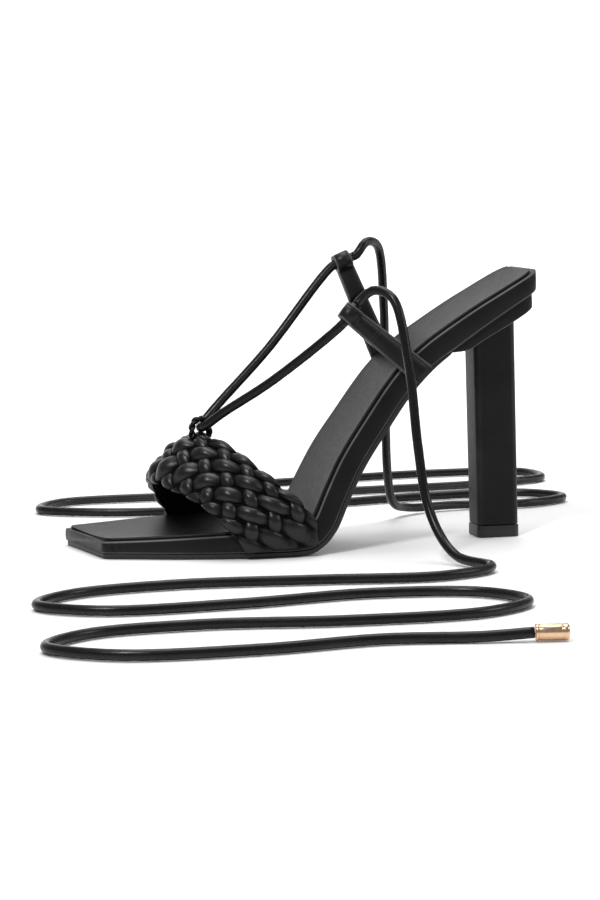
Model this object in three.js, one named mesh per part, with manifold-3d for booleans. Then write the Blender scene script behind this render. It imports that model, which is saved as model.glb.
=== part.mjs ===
// Lace up heeled sandal, left shoe, in millimetres.
// The toe points to -X, the lateral side to -Y, and the shoe stands on the plane z = 0.
import * as THREE from 'three';
import { mergeVertices } from 'three/addons/utils/BufferGeometryUtils.js';
import Module from 'manifold-3d';

const wasm = await Module();
wasm.setup();

// Gap between pieces that meet
const clearance = 0.3;

// Sole: the length runs along the centre line from the toe's front edge to the heel's back edge
const soleLength = 194.4;
const seatHeight = 107.9;
const ballHalfWidth = 37;
const soleThickness = 11;
const outsoleThickness = 2;
const toeSkew = 0.2;
const toeSkewShare = 0.4;
const toeCornerRadius = 2.5;
const heelCornerRadius = 6;
const rimRadius = 1.6;
const wrapRadius = 0.9;
const outsoleInset = 0.6;
const outsoleEdgeRadius = 0.25;
const insoleInset = 1.9;
const insoleThickness = 1;
const insoleEdgeRadius = 0.4;
const soleStations = 40;
const rimSteps = 3;
const wrapSteps = 2;
const sheetSteps = 1;

// Heel: a square column under a seat flange, and its top-lift
const columnDepth = 18.5;
const columnTopWidth = 18;
const columnFootWidth = 17;
const columnCornerRadius = 2.8;
const columnFromBack = 14.4;
const columnRootDepth = 1.5;
const columnLean = 1.3;
const cornerSteps = 4;
const flangeLipShare = 0.8004;
const flangeDepth = 5.2;
const flangeInset = 1.5;
const flangeEdgeRadius = 0.35;
const tipHeight = 5;
const tipOverhang = 0.5;

// Vamp: one braided wall over the toes
const vampHeight = 48;
const vampWall = 2.5;
const vampWidth = 30;
const vampCrown = 6;
const vampStepsAlong = 96;
const vampStepsAcross = 24;
const vampStepsInside = 3;
const vampLengthSamples = 240;
const padRise = 2.4;
const padSquareness = 4;
const narrowPadRise = 0.8;
const wideShareOfColumn = 0.58;
const wideShareOfRow = 0.6;
const columnPitch = 8.1;
const columnTurn = 132;
const rowPitch = 8.7;
const rowTurn = 31;
const braidFrom = { length: 56.7, across: 0.196 };
const flatRiseAtEnds = 0.5;
const flatLengthAtEnds = 14;
const edgeFold = 5;

// Lace: a round cord, held by the throat loop and by the eyes of the two side straps
const cordRadius = 2;
const cordSides = 8;
const bridleSteps = 34;
const tieSteps = 54;
const floorLift = 0.15;
const bridleSag = 2;
const bridleBendBack = 1.2;
const bridleBendOut = 4;
const bridleBendRise = 0.8;
const endRadius = 3;
const endLength = 12;
const endChamfer = 0.8;
const endSides = 12;
const endLieIn = 18;

// Throat loop
const loopCordRadius = 1;
const loopHeight = 7.6;
const loopFootMargin = 0.5;
const loopAcross = 0.83;
const loopSeat = 7.5;
const loopSeatFlatShare = 0.75;
const loopSeatRise = 0.8;
const loopSteps = 14;
const loopPlay = 0.7;

// Side straps, with the eye that the cord runs through
const strapThickness = 1.7;
const strapBaseWidth = 10.5;
const strapTopWidth = 7.6;
const strapFold = 13;
const strapOutlineStep = 4;
const eyeWall = 1.6;
const eyePlay = 0.4;
const eyeStandOff = 1;
const eyeSteps = 16;
const lateralStrapLength = 42;
const lateralStrapBow = 1.5;
const medialStrapLength = 53;
const medialStrapBow = 1;
const lateralStrap = { at: 0.7330, length: lateralStrapLength, turn: 7, bow: lateralStrapBow };
const medialStrap = { at: 0.7237, length: medialStrapLength, turn: -22, bow: -medialStrapBow };

// Sections of the sole. at: share of soleLength. up: share of seatHeight. thick: share of soleThickness.
// tread: share of outsoleThickness. lateral, medial: shares of ballHalfWidth.
// lean: share of the slope kept.
const soleSections = [
  { at: 0.000, up: 0.0000, thick: 0.66, tread: 1.00, lateral: 0.46, medial: 0.88, lean: 1.0 },
  { at: 0.0757, up: 0.0000, thick: 0.72, tread: 1.00, lateral: 0.62, medial: 0.925, lean: 1.0 },
  { at: 0.1543, up: 0.0000, thick: 0.80, tread: 1.00, lateral: 0.78, medial: 0.96, lean: 1.0 },
  { at: 0.2546, up: 0.0000, thick: 0.90, tread: 1.00, lateral: 0.92, medial: 0.99, lean: 1.0 },
  { at: 0.3341, up: 0.0000, thick: 0.95, tread: 1.00, lateral: 0.99, medial: 1.00, lean: 1.0 },
  { at: 0.4117, up: 0.0000, thick: 0.98, tread: 1.00, lateral: 1.00, medial: 0.955, lean: 1.0 },
  { at: 0.4579, up: 0.0056, thick: 1.00, tread: 1.00, lateral: 0.985, medial: 0.89, lean: 1.0 },
  { at: 0.4912, up: 0.0361, thick: 1.00, tread: 1.00, lateral: 0.96, medial: 0.83, lean: 1.0 },
  { at: 0.5196, up: 0.0927, thick: 1.00, tread: 1.00, lateral: 0.935, medial: 0.78, lean: 1.0 },
  { at: 0.5504, up: 0.2057, thick: 1.00, tread: 1.00, lateral: 0.90, medial: 0.725, lean: 1.0 },
  { at: 0.5839, up: 0.3207, thick: 1.00, tread: 1.00, lateral: 0.865, medial: 0.68, lean: 1.0 },
  { at: 0.6327, up: 0.4486, thick: 1.00, tread: 1.00, lateral: 0.82, medial: 0.65, lean: 1.0 },
  { at: 0.7099, up: 0.6320, thick: 0.99, tread: 0.95, lateral: 0.765, medial: 0.64, lean: 1.0 },
  { at: 0.7665, up: 0.7266, thick: 0.95, tread: 0.60, lateral: 0.725, medial: 0.65, lean: 1.0 },
  { at: 0.8153, up: 0.7887, thick: 0.92, tread: 0.35, lateral: 0.70, medial: 0.66, lean: 1.0 },
  { at: 0.8693, up: 0.8536, thick: 0.88, tread: 0.35, lateral: 0.685, medial: 0.67, lean: 0.9 },
  { at: 0.9260, up: 0.9184, thick: 0.85, tread: 0.35, lateral: 0.675, medial: 0.67, lean: 0.5 },
  { at: 1.000, up: 1.0000, thick: 0.87, tread: 0.35, lateral: 0.65, medial: 0.65, lean: 0.0 },
];

// Depth of the heel's flange below the seat, as a share of flangeDepth
const flangeSections = [
  { at: 0.8004, drop: 0.08 },
  { at: 0.8333, drop: 0.70 },
  { at: 0.8693, drop: 0.76 },
  { at: 0.9260, drop: 0.95 },
  { at: 1.000, drop: 1.08 },
];

// Sections of the vamp, evenly spaced in the band's turn, from its lateral end to its medial end.
// side: share of the sole's half width, lateral positive. front, rear: shares of soleLength.
// frontUp, rearUp: shares of vampHeight. crown: share of vampCrown.
const vampSections = [
  { side: 1.000, front: 0.3178, frontUp: 0.054, rear: 0.4673, rearUp: 0.100, crown: 0.00 },
  { side: 1.000, front: 0.2995, frontUp: 0.183, rear: 0.4588, rearUp: 0.280, crown: 0.00 },
  { side: 0.985, front: 0.2743, frontUp: 0.314, rear: 0.4321, rearUp: 0.447, crown: 0.08 },
  { side: 0.900, front: 0.2460, frontUp: 0.432, rear: 0.3912, rearUp: 0.594, crown: 0.33 },
  { side: 0.660, front: 0.2147, frontUp: 0.530, rear: 0.3490, rearUp: 0.742, crown: 0.67 },
  { side: 0.340, front: 0.1806, frontUp: 0.594, rear: 0.3093, rearUp: 0.880, crown: 0.92 },
  { side: 0.000, front: 0.1572, frontUp: 0.632, rear: 0.2727, rearUp: 0.955, crown: 1.00 },
  { side: -0.340, front: 0.1533, frontUp: 0.622, rear: 0.2666, rearUp: 0.920, crown: 0.80 },
  { side: -0.660, front: 0.1622, frontUp: 0.560, rear: 0.2844, rearUp: 0.815, crown: 0.55 },
  { side: -0.900, front: 0.1801, frontUp: 0.460, rear: 0.3232, rearUp: 0.660, crown: 0.28 },
  { side: -0.985, front: 0.1990, frontUp: 0.330, rear: 0.3640, rearUp: 0.470, crown: 0.08 },
  { side: -1.000, front: 0.2198, frontUp: 0.190, rear: 0.3997, rearUp: 0.265, crown: 0.00 },
  { side: -1.000, front: 0.2418, frontUp: 0.054, rear: 0.4285, rearUp: 0.060, crown: 0.00 },
];

// Free ends of the lace. Each first falls from its eye: out: away from the shoe, back, up: from the eye.
const lateralFall = [
  { back: 6.5, out: 2, up: 6 },
  { back: 13, out: 10, up: 3 },
  { back: 17, out: 19, up: -22 },
  { back: 19, out: 26, up: -58 },
  { back: 21, out: 31, up: -80 },
  { back: 24, out: 40, up: -93.5 },
];
const medialFall = [
  { back: 6.5, out: 2, up: 6 },
  { back: 14, out: 10, up: 4 },
  { back: 19, out: 20, up: -22 },
  { back: 21, out: 27, up: -66 },
  { back: 23, out: 32, up: -102 },
  { back: 27, out: 39, up: -115 },
];

// Then it comes down on the floor, the first points still a little over it
const landingRise = [1.5, 0.3];

// Points on the floor, given from the middle of the shoe
const lateralFloor = [
  { x: 46, y: -80 },
  { x: 54, y: -103 },
  { x: 30, y: -118 },
  { x: -20, y: -112 },
  { x: -75, y: -106 },
  { x: -118, y: -116 },
  { x: -134, y: -138 },
  { x: -112, y: -158 },
  { x: -60, y: -158 },
  { x: -8, y: -150 },
  { x: 32, y: -160 },
  { x: 44, y: -184 },
  { x: 22, y: -204 },
  { x: -30, y: -206 },
  { x: -82, y: -198 },
  { x: -124, y: -204 },
  { x: -142, y: -226 },
  { x: -120, y: -248 },
  { x: -72, y: -252 },
  { x: -28, y: -246 },
  { x: 6, y: -252 },
];
const medialFloor = [
  { x: 66, y: 74 },
  { x: 92, y: 84 },
  { x: 128, y: 82 },
  { x: 150, y: 98 },
  { x: 136, y: 120 },
  { x: 88, y: 122 },
  { x: 34, y: 112 },
  { x: -20, y: 108 },
  { x: -70, y: 116 },
  { x: -98, y: 136 },
  { x: -84, y: 160 },
  { x: -36, y: 164 },
  { x: 20, y: 156 },
  { x: 76, y: 156 },
  { x: 128, y: 160 },
  { x: 164, y: 176 },
  { x: 160, y: 204 },
  { x: 116, y: 212 },
  { x: 60, y: 206 },
  { x: 14, y: 200 },
];

const degrees = Math.PI / 180;

// Smooth curve through one column of a table, without overshoot between its rows
function column(rows, name) {
  const at = rows.map((row) => row.at);
  const value = rows.map((row) => row[name]);
  const last = rows.length - 1;
  const rise = at.slice(1).map((end, i) => (value[i + 1] - value[i]) / (end - at[i]));
  const slope = value.map((_, i) => {
    const before = rise[Math.max(i - 1, 0)];
    const after = rise[Math.min(i, last - 1)];
    return before * after > 0 ? (2 * before * after) / (before + after) : 0;
  });
  return (share) => {
    const x = THREE.MathUtils.clamp(share, at[0], at[last]);
    let i = 0;
    while (i < last - 1 && x > at[i + 1]) {
      i += 1;
    }
    const span = at[i + 1] - at[i];
    const t = (x - at[i]) / span;
    const t2 = t * t;
    const t3 = t2 * t;
    return value[i] * (2 * t3 - 3 * t2 + 1) + slope[i] * span * (t3 - 2 * t2 + t)
      + value[i + 1] * (3 * t2 - 2 * t3) + slope[i + 1] * span * (t3 - t2);
  };
}

function evenly(rows) {
  return rows.map((row, i) => ({ at: i / (rows.length - 1), ...row }));
}

function columns(rows, names) {
  return Object.fromEntries(names.map((name) => [name, column(rows, name)]));
}

const sole = columns(soleSections, ['up', 'thick', 'tread', 'lateral', 'medial', 'lean']);
const flange = columns(flangeSections, ['drop']);
const vamp = columns(evenly(vampSections), ['side', 'front', 'frontUp', 'rear', 'rearUp', 'crown']);

// The box of the whole shoe is centred on x = 0
const toeReach = toeSkew * (soleSections[0].medial * ballHalfWidth - toeCornerRadius);
const toeX = (toeReach - soleLength) / 2;

function treadX(at) {
  return toeX + at * soleLength;
}

function treadZ(at) {
  return sole.up(at) * seatHeight;
}

function shareAt(x) {
  return (x - toeX) / soleLength;
}

// Slope of the tread line in radians
function slopeAt(at) {
  const step = 0.002;
  const low = Math.max(at - step, 0);
  const high = Math.min(at + step, 1);
  return Math.atan2(treadZ(high) - treadZ(low), (high - low) * soleLength);
}

function halfWidth(at, side) {
  return ballHalfWidth * (side > 0 ? sole.lateral(at) : sole.medial(at));
}

function undersideRise(at) {
  return outsoleThickness * sole.tread(at) + clearance;
}

// A point of the sole: across is measured from the centre line, lateral positive, up along the section
function solePoint(at, across, up) {
  const lean = slopeAt(at) * sole.lean(at);
  const skew = toeSkew * (1 - THREE.MathUtils.smoothstep(at, 0, toeSkewShare));
  return new THREE.Vector3(
    treadX(at) + skew * across - Math.sin(lean) * up,
    -across,
    treadZ(at) + Math.cos(lean) * up,
  );
}

// How far a rounded corner of the outline draws the edge in, at a distance from the end
function cornerDraw(distance, radius) {
  const inside = THREE.MathUtils.clamp(radius - distance, 0, radius);
  return radius - Math.sqrt(radius * radius - inside * inside);
}

// Closed outline of a section with rounded corners, from its lateral lower corner round
function sectionOutline(lateral, medial, low, high, edge) {
  const { lowRadius, highRadius, lowSteps, highSteps } = edge;
  const lower = { up: low + lowRadius, radius: lowRadius, steps: lowSteps };
  const upper = { up: high - highRadius, radius: highRadius, steps: highSteps };
  const corners = [
    { ...lower, across: lateral - lowRadius, from: 0 },
    { ...lower, across: lowRadius - medial, from: -90 },
    { ...upper, across: highRadius - medial, from: -180 },
    { ...upper, across: lateral - highRadius, from: -270 },
  ];
  return corners.flatMap((corner) => Array.from({ length: corner.steps + 1 }, (_, i) => {
    const angle = (corner.from - (90 * i) / corner.steps) * degrees;
    return {
      across: corner.across + corner.radius * Math.cos(angle),
      up: corner.up + corner.radius * Math.sin(angle),
    };
  }));
}

function geometryFrom(points, triangles) {
  const geometry = new THREE.BufferGeometry();
  const values = points.flatMap((p) => [p.x, p.y, p.z]);
  geometry.setAttribute('position', new THREE.Float32BufferAttribute(values, 3));
  geometry.setIndex(triangles.flat());
  return outward(geometry);
}

function signedVolume(geometry) {
  const position = geometry.getAttribute('position');
  const index = geometry.getIndex();
  const corner = [new THREE.Vector3(), new THREE.Vector3(), new THREE.Vector3()];
  let volume = 0;
  for (let i = 0; i < index.count; i += 3) {
    corner.forEach((point, k) => point.fromBufferAttribute(position, index.getX(i + k)));
    volume += corner[0].dot(corner[1].clone().cross(corner[2])) / 6;
  }
  return volume;
}

// Turns every triangle round when the faces point in
function outward(geometry) {
  if (signedVolume(geometry) < 0) {
    const index = geometry.getIndex();
    for (let i = 0; i < index.count; i += 3) {
      const second = index.getX(i + 1);
      index.setX(i + 1, index.getX(i + 2));
      index.setX(i + 2, second);
    }
  }
  return geometry;
}

// Closed body through rings of equal count, with a flat cap at both ends
function loft(rings) {
  const count = rings[0].length;
  const points = rings.flat();
  const triangles = [];
  for (let r = 0; r < rings.length - 1; r += 1) {
    for (let i = 0; i < count; i += 1) {
      const a = r * count + i;
      const b = r * count + ((i + 1) % count);
      triangles.push([a, b, b + count], [a, b + count, a + count]);
    }
  }
  const end = (rings.length - 1) * count;
  for (let i = 1; i < count - 1; i += 1) {
    triangles.push([0, i + 1, i], [end, end + i, end + i + 1]);
  }
  return geometryFrom(points, triangles);
}

function cleaned(geometry) {
  geometry.deleteAttribute('normal');
  geometry.deleteAttribute('uv');
  return outward(mergeVertices(geometry));
}

function toSolid(geometry) {
  const body = cleaned(geometry);
  const vertProperties = new Float32Array(body.getAttribute('position').array);
  const triVerts = new Uint32Array(body.getIndex().array);
  return new wasm.Manifold(new wasm.Mesh({ numProp: 3, vertProperties, triVerts }));
}

function fromSolid(solid) {
  const mesh = solid.getMesh();
  const geometry = new THREE.BufferGeometry();
  geometry.setAttribute('position', new THREE.Float32BufferAttribute(mesh.vertProperties, 3));
  geometry.setIndex(Array.from(mesh.triVerts));
  return geometry;
}

// Stations of the sole between two shares, closer together where the plan's corners are rounded
function stations(from, to, frontRadius, backRadius) {
  const corner = [0, 0.12, 0.35, 0.7, 1];
  const front = corner.map((share) => from + (share * frontRadius) / soleLength);
  const back = corner.map((share) => to - (share * backRadius) / soleLength);
  const even = Array.from({ length: soleStations + 1 }, (_, i) => i / soleStations);
  const margin = 0.3 / soleStations;
  const first = front[front.length - 1] + margin;
  const last = back[back.length - 1] - margin;
  const middle = even.filter((at) => at > first && at < last);
  return [...front, ...middle, ...back.reverse()];
}

// A layer of the sole between two heights, both functions of the share along it
function soleLayer({ from, to, inset, frontRadius, backRadius, low, high, edge }) {
  const rings = stations(from, to, frontRadius, backRadius).map((at) => {
    const draw = cornerDraw((at - from) * soleLength, frontRadius)
      + cornerDraw((to - at) * soleLength, backRadius);
    const lateral = halfWidth(at, 1) - inset - draw;
    const medial = halfWidth(at, -1) - inset - draw;
    const outline = sectionOutline(lateral, medial, low(at), high(at), edge);
    return outline.map((point) => solePoint(at, point.across, point.up));
  });
  return loft(rings);
}

function sheetEdge(radius) {
  return { lowRadius: radius, highRadius: radius, lowSteps: sheetSteps, highSteps: sheetSteps };
}

function rimRise(at) {
  return soleThickness * sole.thick(at);
}

function buildOutsole() {
  return soleLayer({
    from: outsoleInset / soleLength,
    to: flangeLipShare - clearance / soleLength,
    inset: outsoleInset,
    frontRadius: toeCornerRadius,
    backRadius: toeCornerRadius,
    low: () => 0,
    high: (at) => undersideRise(at) - clearance,
    edge: sheetEdge(outsoleEdgeRadius),
  });
}

function buildPlatform() {
  return soleLayer({
    from: 0,
    to: 1,
    inset: 0,
    frontRadius: toeCornerRadius,
    backRadius: heelCornerRadius,
    low: undersideRise,
    high: rimRise,
    edge: { lowRadius: wrapRadius, highRadius: rimRadius, lowSteps: wrapSteps, highSteps: rimSteps },
  });
}

function buildInsole() {
  return soleLayer({
    from: insoleInset / soleLength,
    to: 1 - insoleInset / soleLength,
    inset: insoleInset,
    frontRadius: toeCornerRadius,
    backRadius: heelCornerRadius,
    low: (at) => rimRise(at) + clearance,
    high: (at) => rimRise(at) + clearance + insoleThickness,
    edge: sheetEdge(insoleEdgeRadius),
  });
}

// Ring of a square column with rounded corners
function columnRing(centreX, depth, width, radius, heightAt) {
  const turns = [[1, 1], [-1, 1], [-1, -1], [1, -1]];
  return turns.flatMap(([sx, sy], k) => Array.from({ length: cornerSteps }, (_, i) => {
    const angle = (90 * k + (90 * i) / (cornerSteps - 1)) * degrees;
    const x = centreX + sx * (depth / 2 - radius) + radius * Math.cos(angle);
    const y = sy * (width / 2 - radius) + radius * Math.sin(angle);
    return new THREE.Vector3(x, y, heightAt(x));
  }));
}

const columnX = treadX(1) - columnFromBack;

function buildHeel() {
  const seat = soleLayer({
    from: flangeLipShare,
    to: 1 - flangeInset / soleLength,
    inset: flangeInset,
    frontRadius: toeCornerRadius,
    backRadius: heelCornerRadius,
    low: (at) => -flangeDepth * flange.drop(at),
    high: (at) => undersideRise(at) - clearance,
    edge: sheetEdge(flangeEdgeRadius),
  });
  const base = () => tipHeight + clearance;
  const root = (x) => treadZ(shareAt(x)) - columnRootDepth;
  const foot = columnRing(columnX, columnDepth, columnFootWidth, columnCornerRadius, base);
  const top = columnRing(columnX - columnLean, columnDepth, columnTopWidth, columnCornerRadius, root);
  return fromSolid(toSolid(loft([foot, top])).add(toSolid(seat)));
}

function buildHeelTip() {
  const depth = columnDepth + tipOverhang;
  const width = columnFootWidth + tipOverhang;
  const rings = [0, tipHeight].map((z) => columnRing(columnX, depth, width, columnCornerRadius, () => z));
  return loft(rings);
}

// Middle of the vamp's wall: turn runs from the lateral end to the medial end, across from front to rear
function vampMiddle(turn, across) {
  const at = THREE.MathUtils.lerp(vamp.front(turn), vamp.rear(turn), across);
  const up = THREE.MathUtils.lerp(vamp.frontUp(turn), vamp.rearUp(turn), across) * vampHeight;
  const crown = vampCrown * vamp.crown(turn) * 4 * across * (1 - across);
  const side = vamp.side(turn);
  const outer = halfWidth(at, side) + clearance + vampWall / 2;
  return new THREE.Vector3(treadX(at), -side * outer, up + crown);
}

function vampNormal(turn, across) {
  const step = 0.004;
  const t0 = Math.max(turn - step, 0);
  const t1 = Math.min(turn + step, 1);
  const a0 = Math.max(across - step, 0);
  const a1 = Math.min(across + step, 1);
  const along = vampMiddle(t1, across).sub(vampMiddle(t0, across));
  const over = vampMiddle(turn, a1).sub(vampMiddle(turn, a0));
  return over.cross(along).normalize();
}

// Length along the band's middle, to space the braid evenly
const vampLengths = [0];
for (let i = 1; i <= vampLengthSamples; i += 1) {
  const before = vampMiddle((i - 1) / vampLengthSamples, 0.5);
  const after = vampMiddle(i / vampLengthSamples, 0.5);
  vampLengths.push(vampLengths[i - 1] + before.distanceTo(after));
}
const vampLength = vampLengths[vampLengthSamples];

function turnAtLength(length) {
  const i = Math.max(vampLengths.findIndex((end) => end >= length), 1);
  const share = (length - vampLengths[i - 1]) / (vampLengths[i] - vampLengths[i - 1]);
  return (i - 1 + Math.min(share, 1)) / vampLengthSamples;
}

function lengthAtTurn(turn) {
  return vampLengths[Math.round(turn * vampLengthSamples)];
}

function dome(share) {
  return Math.sqrt(Math.max(0, 1 - Math.abs(share) ** padSquareness));
}

// Place in the braid, counted in columns and rows of pads from a pad of a wide strip
function braidPlace(length, across) {
  const along = length - braidFrom.length;
  const over = (across - braidFrom.across) * vampWidth;
  const column = columnTurn * degrees;
  const row = rowTurn * degrees;
  const spread = Math.sin(column - row);
  return {
    column: (over * Math.cos(row) - along * Math.sin(row)) / (columnPitch * spread),
    row: (along * Math.sin(column) - over * Math.cos(column)) / (rowPitch * spread),
  };
}

// Height of the braid's strips over the wall: wide strips cross over and under narrow ones
function braidRise(length, across) {
  const place = braidPlace(length, across);
  const low = { column: Math.floor(place.column), row: Math.floor(place.row) };
  const pads = [[0, 0], [1, 0], [0, 1], [1, 1]].map(([c, r]) => {
    const wide = (low.column + c + low.row + r) % 2 === 0;
    const reachColumn = wide ? wideShareOfColumn : 1 - wideShareOfColumn;
    const reachRow = wide ? wideShareOfRow : 1 - wideShareOfRow;
    return dome((place.column - low.column - c) / reachColumn) * dome((place.row - low.row - r) / reachRow)
      * (wide ? 1 : narrowPadRise);
  });
  const pad = Math.max(...pads);
  const fromEnd = Math.min(length, vampLength - length);
  const endShare = THREE.MathUtils.lerp(
    flatRiseAtEnds,
    1,
    THREE.MathUtils.smoothstep(fromEnd, 0, flatLengthAtEnds),
  );
  const b = across * vampWidth;
  const fromEdge = THREE.MathUtils.clamp(Math.min(b, vampWidth - b), 0, edgeFold);
  const fold = Math.sqrt(1 - (1 - fromEdge / edgeFold) ** 2);
  const seatDistance = Math.hypot(length - lengthAtTurn(0.5), b - loopAcross * vampWidth);
  const seat = 1 - THREE.MathUtils.smoothstep(seatDistance, loopSeat * loopSeatFlatShare, loopSeat);
  return padRise * THREE.MathUtils.lerp(pad * endShare * fold, loopSeatRise, seat);
}

function vampSurface(length, across, outer) {
  const turn = turnAtLength(length);
  const offset = outer ? vampWall / 2 + braidRise(length, across) : -vampWall / 2;
  return vampMiddle(turn, across).addScaledVector(vampNormal(turn, across), offset);
}

// Triangles between two edges with different counts of points
function bridge(first, second) {
  const triangles = [];
  let i = 0;
  let k = 0;
  while (i < first.length - 1 || k < second.length - 1) {
    const nextFirst = (i + 1) / (first.length - 1);
    const nextSecond = (k + 1) / (second.length - 1);
    if (k === second.length - 1 || (i < first.length - 1 && nextFirst <= nextSecond)) {
      triangles.push([first[i], first[i + 1], second[k]]);
      i += 1;
    } else {
      triangles.push([first[i], second[k + 1], second[k]]);
      k += 1;
    }
  }
  return triangles;
}

function buildVamp() {
  const points = [];
  const sheet = (stepsAcross, outer) => Array.from({ length: vampStepsAlong + 1 }, (_, i) => (
    Array.from({ length: stepsAcross + 1 }, (__, k) => {
      const length = (vampLength * i) / vampStepsAlong;
      return points.push(vampSurface(length, k / stepsAcross, outer)) - 1;
    })
  ));
  const outside = sheet(vampStepsAcross, true);
  const inside = sheet(vampStepsInside, false);
  const triangles = [];
  const quad = (a, b, c, d) => triangles.push([a, b, c], [a, c, d]);
  for (let i = 0; i < vampStepsAlong; i += 1) {
    for (let k = 0; k < vampStepsAcross; k += 1) {
      quad(outside[i][k], outside[i][k + 1], outside[i + 1][k + 1], outside[i + 1][k]);
    }
    for (let k = 0; k < vampStepsInside; k += 1) {
      quad(inside[i][k], inside[i + 1][k], inside[i + 1][k + 1], inside[i][k + 1]);
    }
    quad(outside[i][0], outside[i + 1][0], inside[i + 1][0], inside[i][0]);
    const rear = vampStepsAcross;
    const inner = vampStepsInside;
    quad(outside[i][rear], inside[i][inner], inside[i + 1][inner], outside[i + 1][rear]);
  }
  bridge(inside[0], outside[0]).forEach((triangle) => triangles.push(triangle));
  bridge(outside[vampStepsAlong], inside[vampStepsAlong]).forEach((triangle) => triangles.push(triangle));
  return geometryFrom(points, triangles);
}

function roundSection(radius, sides) {
  const corners = Array.from({ length: sides }, (_, i) => {
    const angle = (2 * Math.PI * i) / sides;
    return new THREE.Vector2(radius * Math.cos(angle), radius * Math.sin(angle));
  });
  return new THREE.Shape(corners);
}

function cordTube(points, radius, steps) {
  const path = new THREE.CatmullRomCurve3(points, false, 'centripetal');
  path.arcLengthDivisions = 20 * steps;
  const options = { steps, extrudePath: path, bevelEnabled: false };
  return cleaned(new THREE.ExtrudeGeometry(roundSection(radius, cordSides), options));
}

// Throat loop: an upturned U that stands on the vamp's rear edge
const loopLeg = loopCordRadius + cordRadius + loopPlay;
const throatLength = lengthAtTurn(0.5);

// A foot ends just over the highest part of the vamp's face below it
function loopFoot(sign) {
  const across = loopAcross + (sign * loopLeg) / (soleLength * (vamp.rear(0.5) - vamp.front(0.5)));
  const reach = loopCordRadius + loopFootMargin;
  const round = [-reach, 0, reach];
  const heights = round.flatMap((along) => round.map((over) => (
    vampSurface(throatLength + along, across + over / vampWidth, true).z
  )));
  return vampSurface(throatLength, across, true).setZ(Math.max(...heights) + clearance);
}

const loopFeet = [loopFoot(-1), loopFoot(1)];
const loopCentre = new THREE.Vector3(
  (loopFeet[0].x + loopFeet[1].x) / 2,
  0,
  Math.max(loopFeet[0].z, loopFeet[1].z) + loopHeight - loopLeg - loopCordRadius,
);

function buildThroatLoop() {
  const arch = [180, 135, 90, 45, 0].map((angle) => new THREE.Vector3(
    loopCentre.x + loopLeg * Math.cos(angle * degrees),
    0,
    loopCentre.z + loopLeg * Math.sin(angle * degrees),
  ));
  const feet = loopFeet.map((foot, i) => new THREE.Vector3(arch[i * 4].x, 0, foot.z));
  return cordTube([feet[0], ...arch, feet[1]], loopCordRadius, loopSteps);
}

// Frame of a side strap: its base sits on the sole's side, its length runs up from the outsole's seam
function strapFrame({ at, length, turn, bow }, side) {
  const normal = slopeAt(at) + turn * degrees;
  const up = new THREE.Vector3(-Math.sin(normal), 0, Math.cos(normal));
  const along = new THREE.Vector3(Math.cos(normal), 0, Math.sin(normal));
  const reach = strapBaseWidth / (2 * soleLength) * Math.cos(slopeAt(at));
  const taper = (halfWidth(at + reach, side) - halfWidth(at - reach, side)) / strapBaseWidth;
  const out = Math.max(halfWidth(at + reach, side), halfWidth(at - reach, side), halfWidth(at, side));
  const middle = (halfWidth(at + reach, side) + halfWidth(at - reach, side)) / 2;
  const base = solePoint(at, side * (middle + clearance + (out - middle) / 4), undersideRise(at));
  const cut = Math.tan(turn * degrees);
  const place = (n, d, w) => {
    const share = THREE.MathUtils.clamp(d / length, 0, 1);
    const across = w * THREE.MathUtils.lerp(strapBaseWidth, strapTopWidth, share);
    const offset = n + bow * share * share + taper * across;
    return base.clone()
      .addScaledVector(up, d - cut * across * (1 - share))
      .addScaledVector(along, across)
      .add(new THREE.Vector3(0, -side * offset, 0));
  };
  return { place, length };
}

const eyeInner = cordRadius + eyePlay;
const eyeOuter = eyeInner + eyeWall;

function buildStrap(frame) {
  const { length, place } = frame;
  const meet = Math.asin(strapThickness / eyeOuter);
  const neck = length - eyeOuter * Math.cos(meet);
  const shape = new THREE.Shape();
  const climb = Math.ceil(neck / strapOutlineStep);
  const foldStart = neck - strapFold;
  shape.moveTo(0, 0);
  for (let i = 0; i <= climb; i += 1) {
    shape.lineTo(strapThickness, (neck * i) / climb);
  }
  for (let i = 1; i < eyeSteps; i += 1) {
    const angle = -Math.PI / 2 + meet + ((2 * Math.PI - 2 * meet) * i) / eyeSteps;
    shape.lineTo(eyeOuter * Math.cos(angle), length + eyeOuter * Math.sin(angle));
  }
  const back = Math.ceil(strapFold / strapOutlineStep);
  for (let i = 0; i <= back; i += 1) {
    shape.lineTo(-strapThickness, neck - (strapFold * i) / back);
  }
  const down = Math.ceil(foldStart / strapOutlineStep);
  for (let i = 0; i < down; i += 1) {
    shape.lineTo(0, foldStart * (1 - i / down));
  }
  const hole = new THREE.Path();
  for (let i = 0; i < eyeSteps; i += 1) {
    const angle = (-2 * Math.PI * i) / eyeSteps;
    const point = [eyeInner * Math.cos(angle), length + eyeInner * Math.sin(angle)];
    if (i === 0) {
      hole.moveTo(...point);
    } else {
      hole.lineTo(...point);
    }
  }
  shape.holes.push(hole);
  const geometry = new THREE.ExtrudeGeometry(shape, { depth: 1, steps: 1, bevelEnabled: false });
  const position = geometry.getAttribute('position');
  for (let i = 0; i < position.count; i += 1) {
    const point = place(position.getX(i), position.getY(i), position.getZ(i) - 0.5);
    position.setXYZ(i, point.x, point.y, point.z);
  }
  return cleaned(geometry);
}

const lateralFrame = strapFrame(lateralStrap, 1);
const medialFrame = strapFrame(medialStrap, -1);

// Axis of a strap's eye, from its front face to its back face
function eyeAxis(frame) {
  const centre = frame.place(0, frame.length, 0);
  const direction = frame.place(0, frame.length, 0.5).sub(centre).normalize();
  return { centre, direction };
}

const lateralEye = eyeAxis(lateralFrame);
const medialEye = eyeAxis(medialFrame);
const eyeReach = strapTopWidth / 2 + eyeStandOff;

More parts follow.
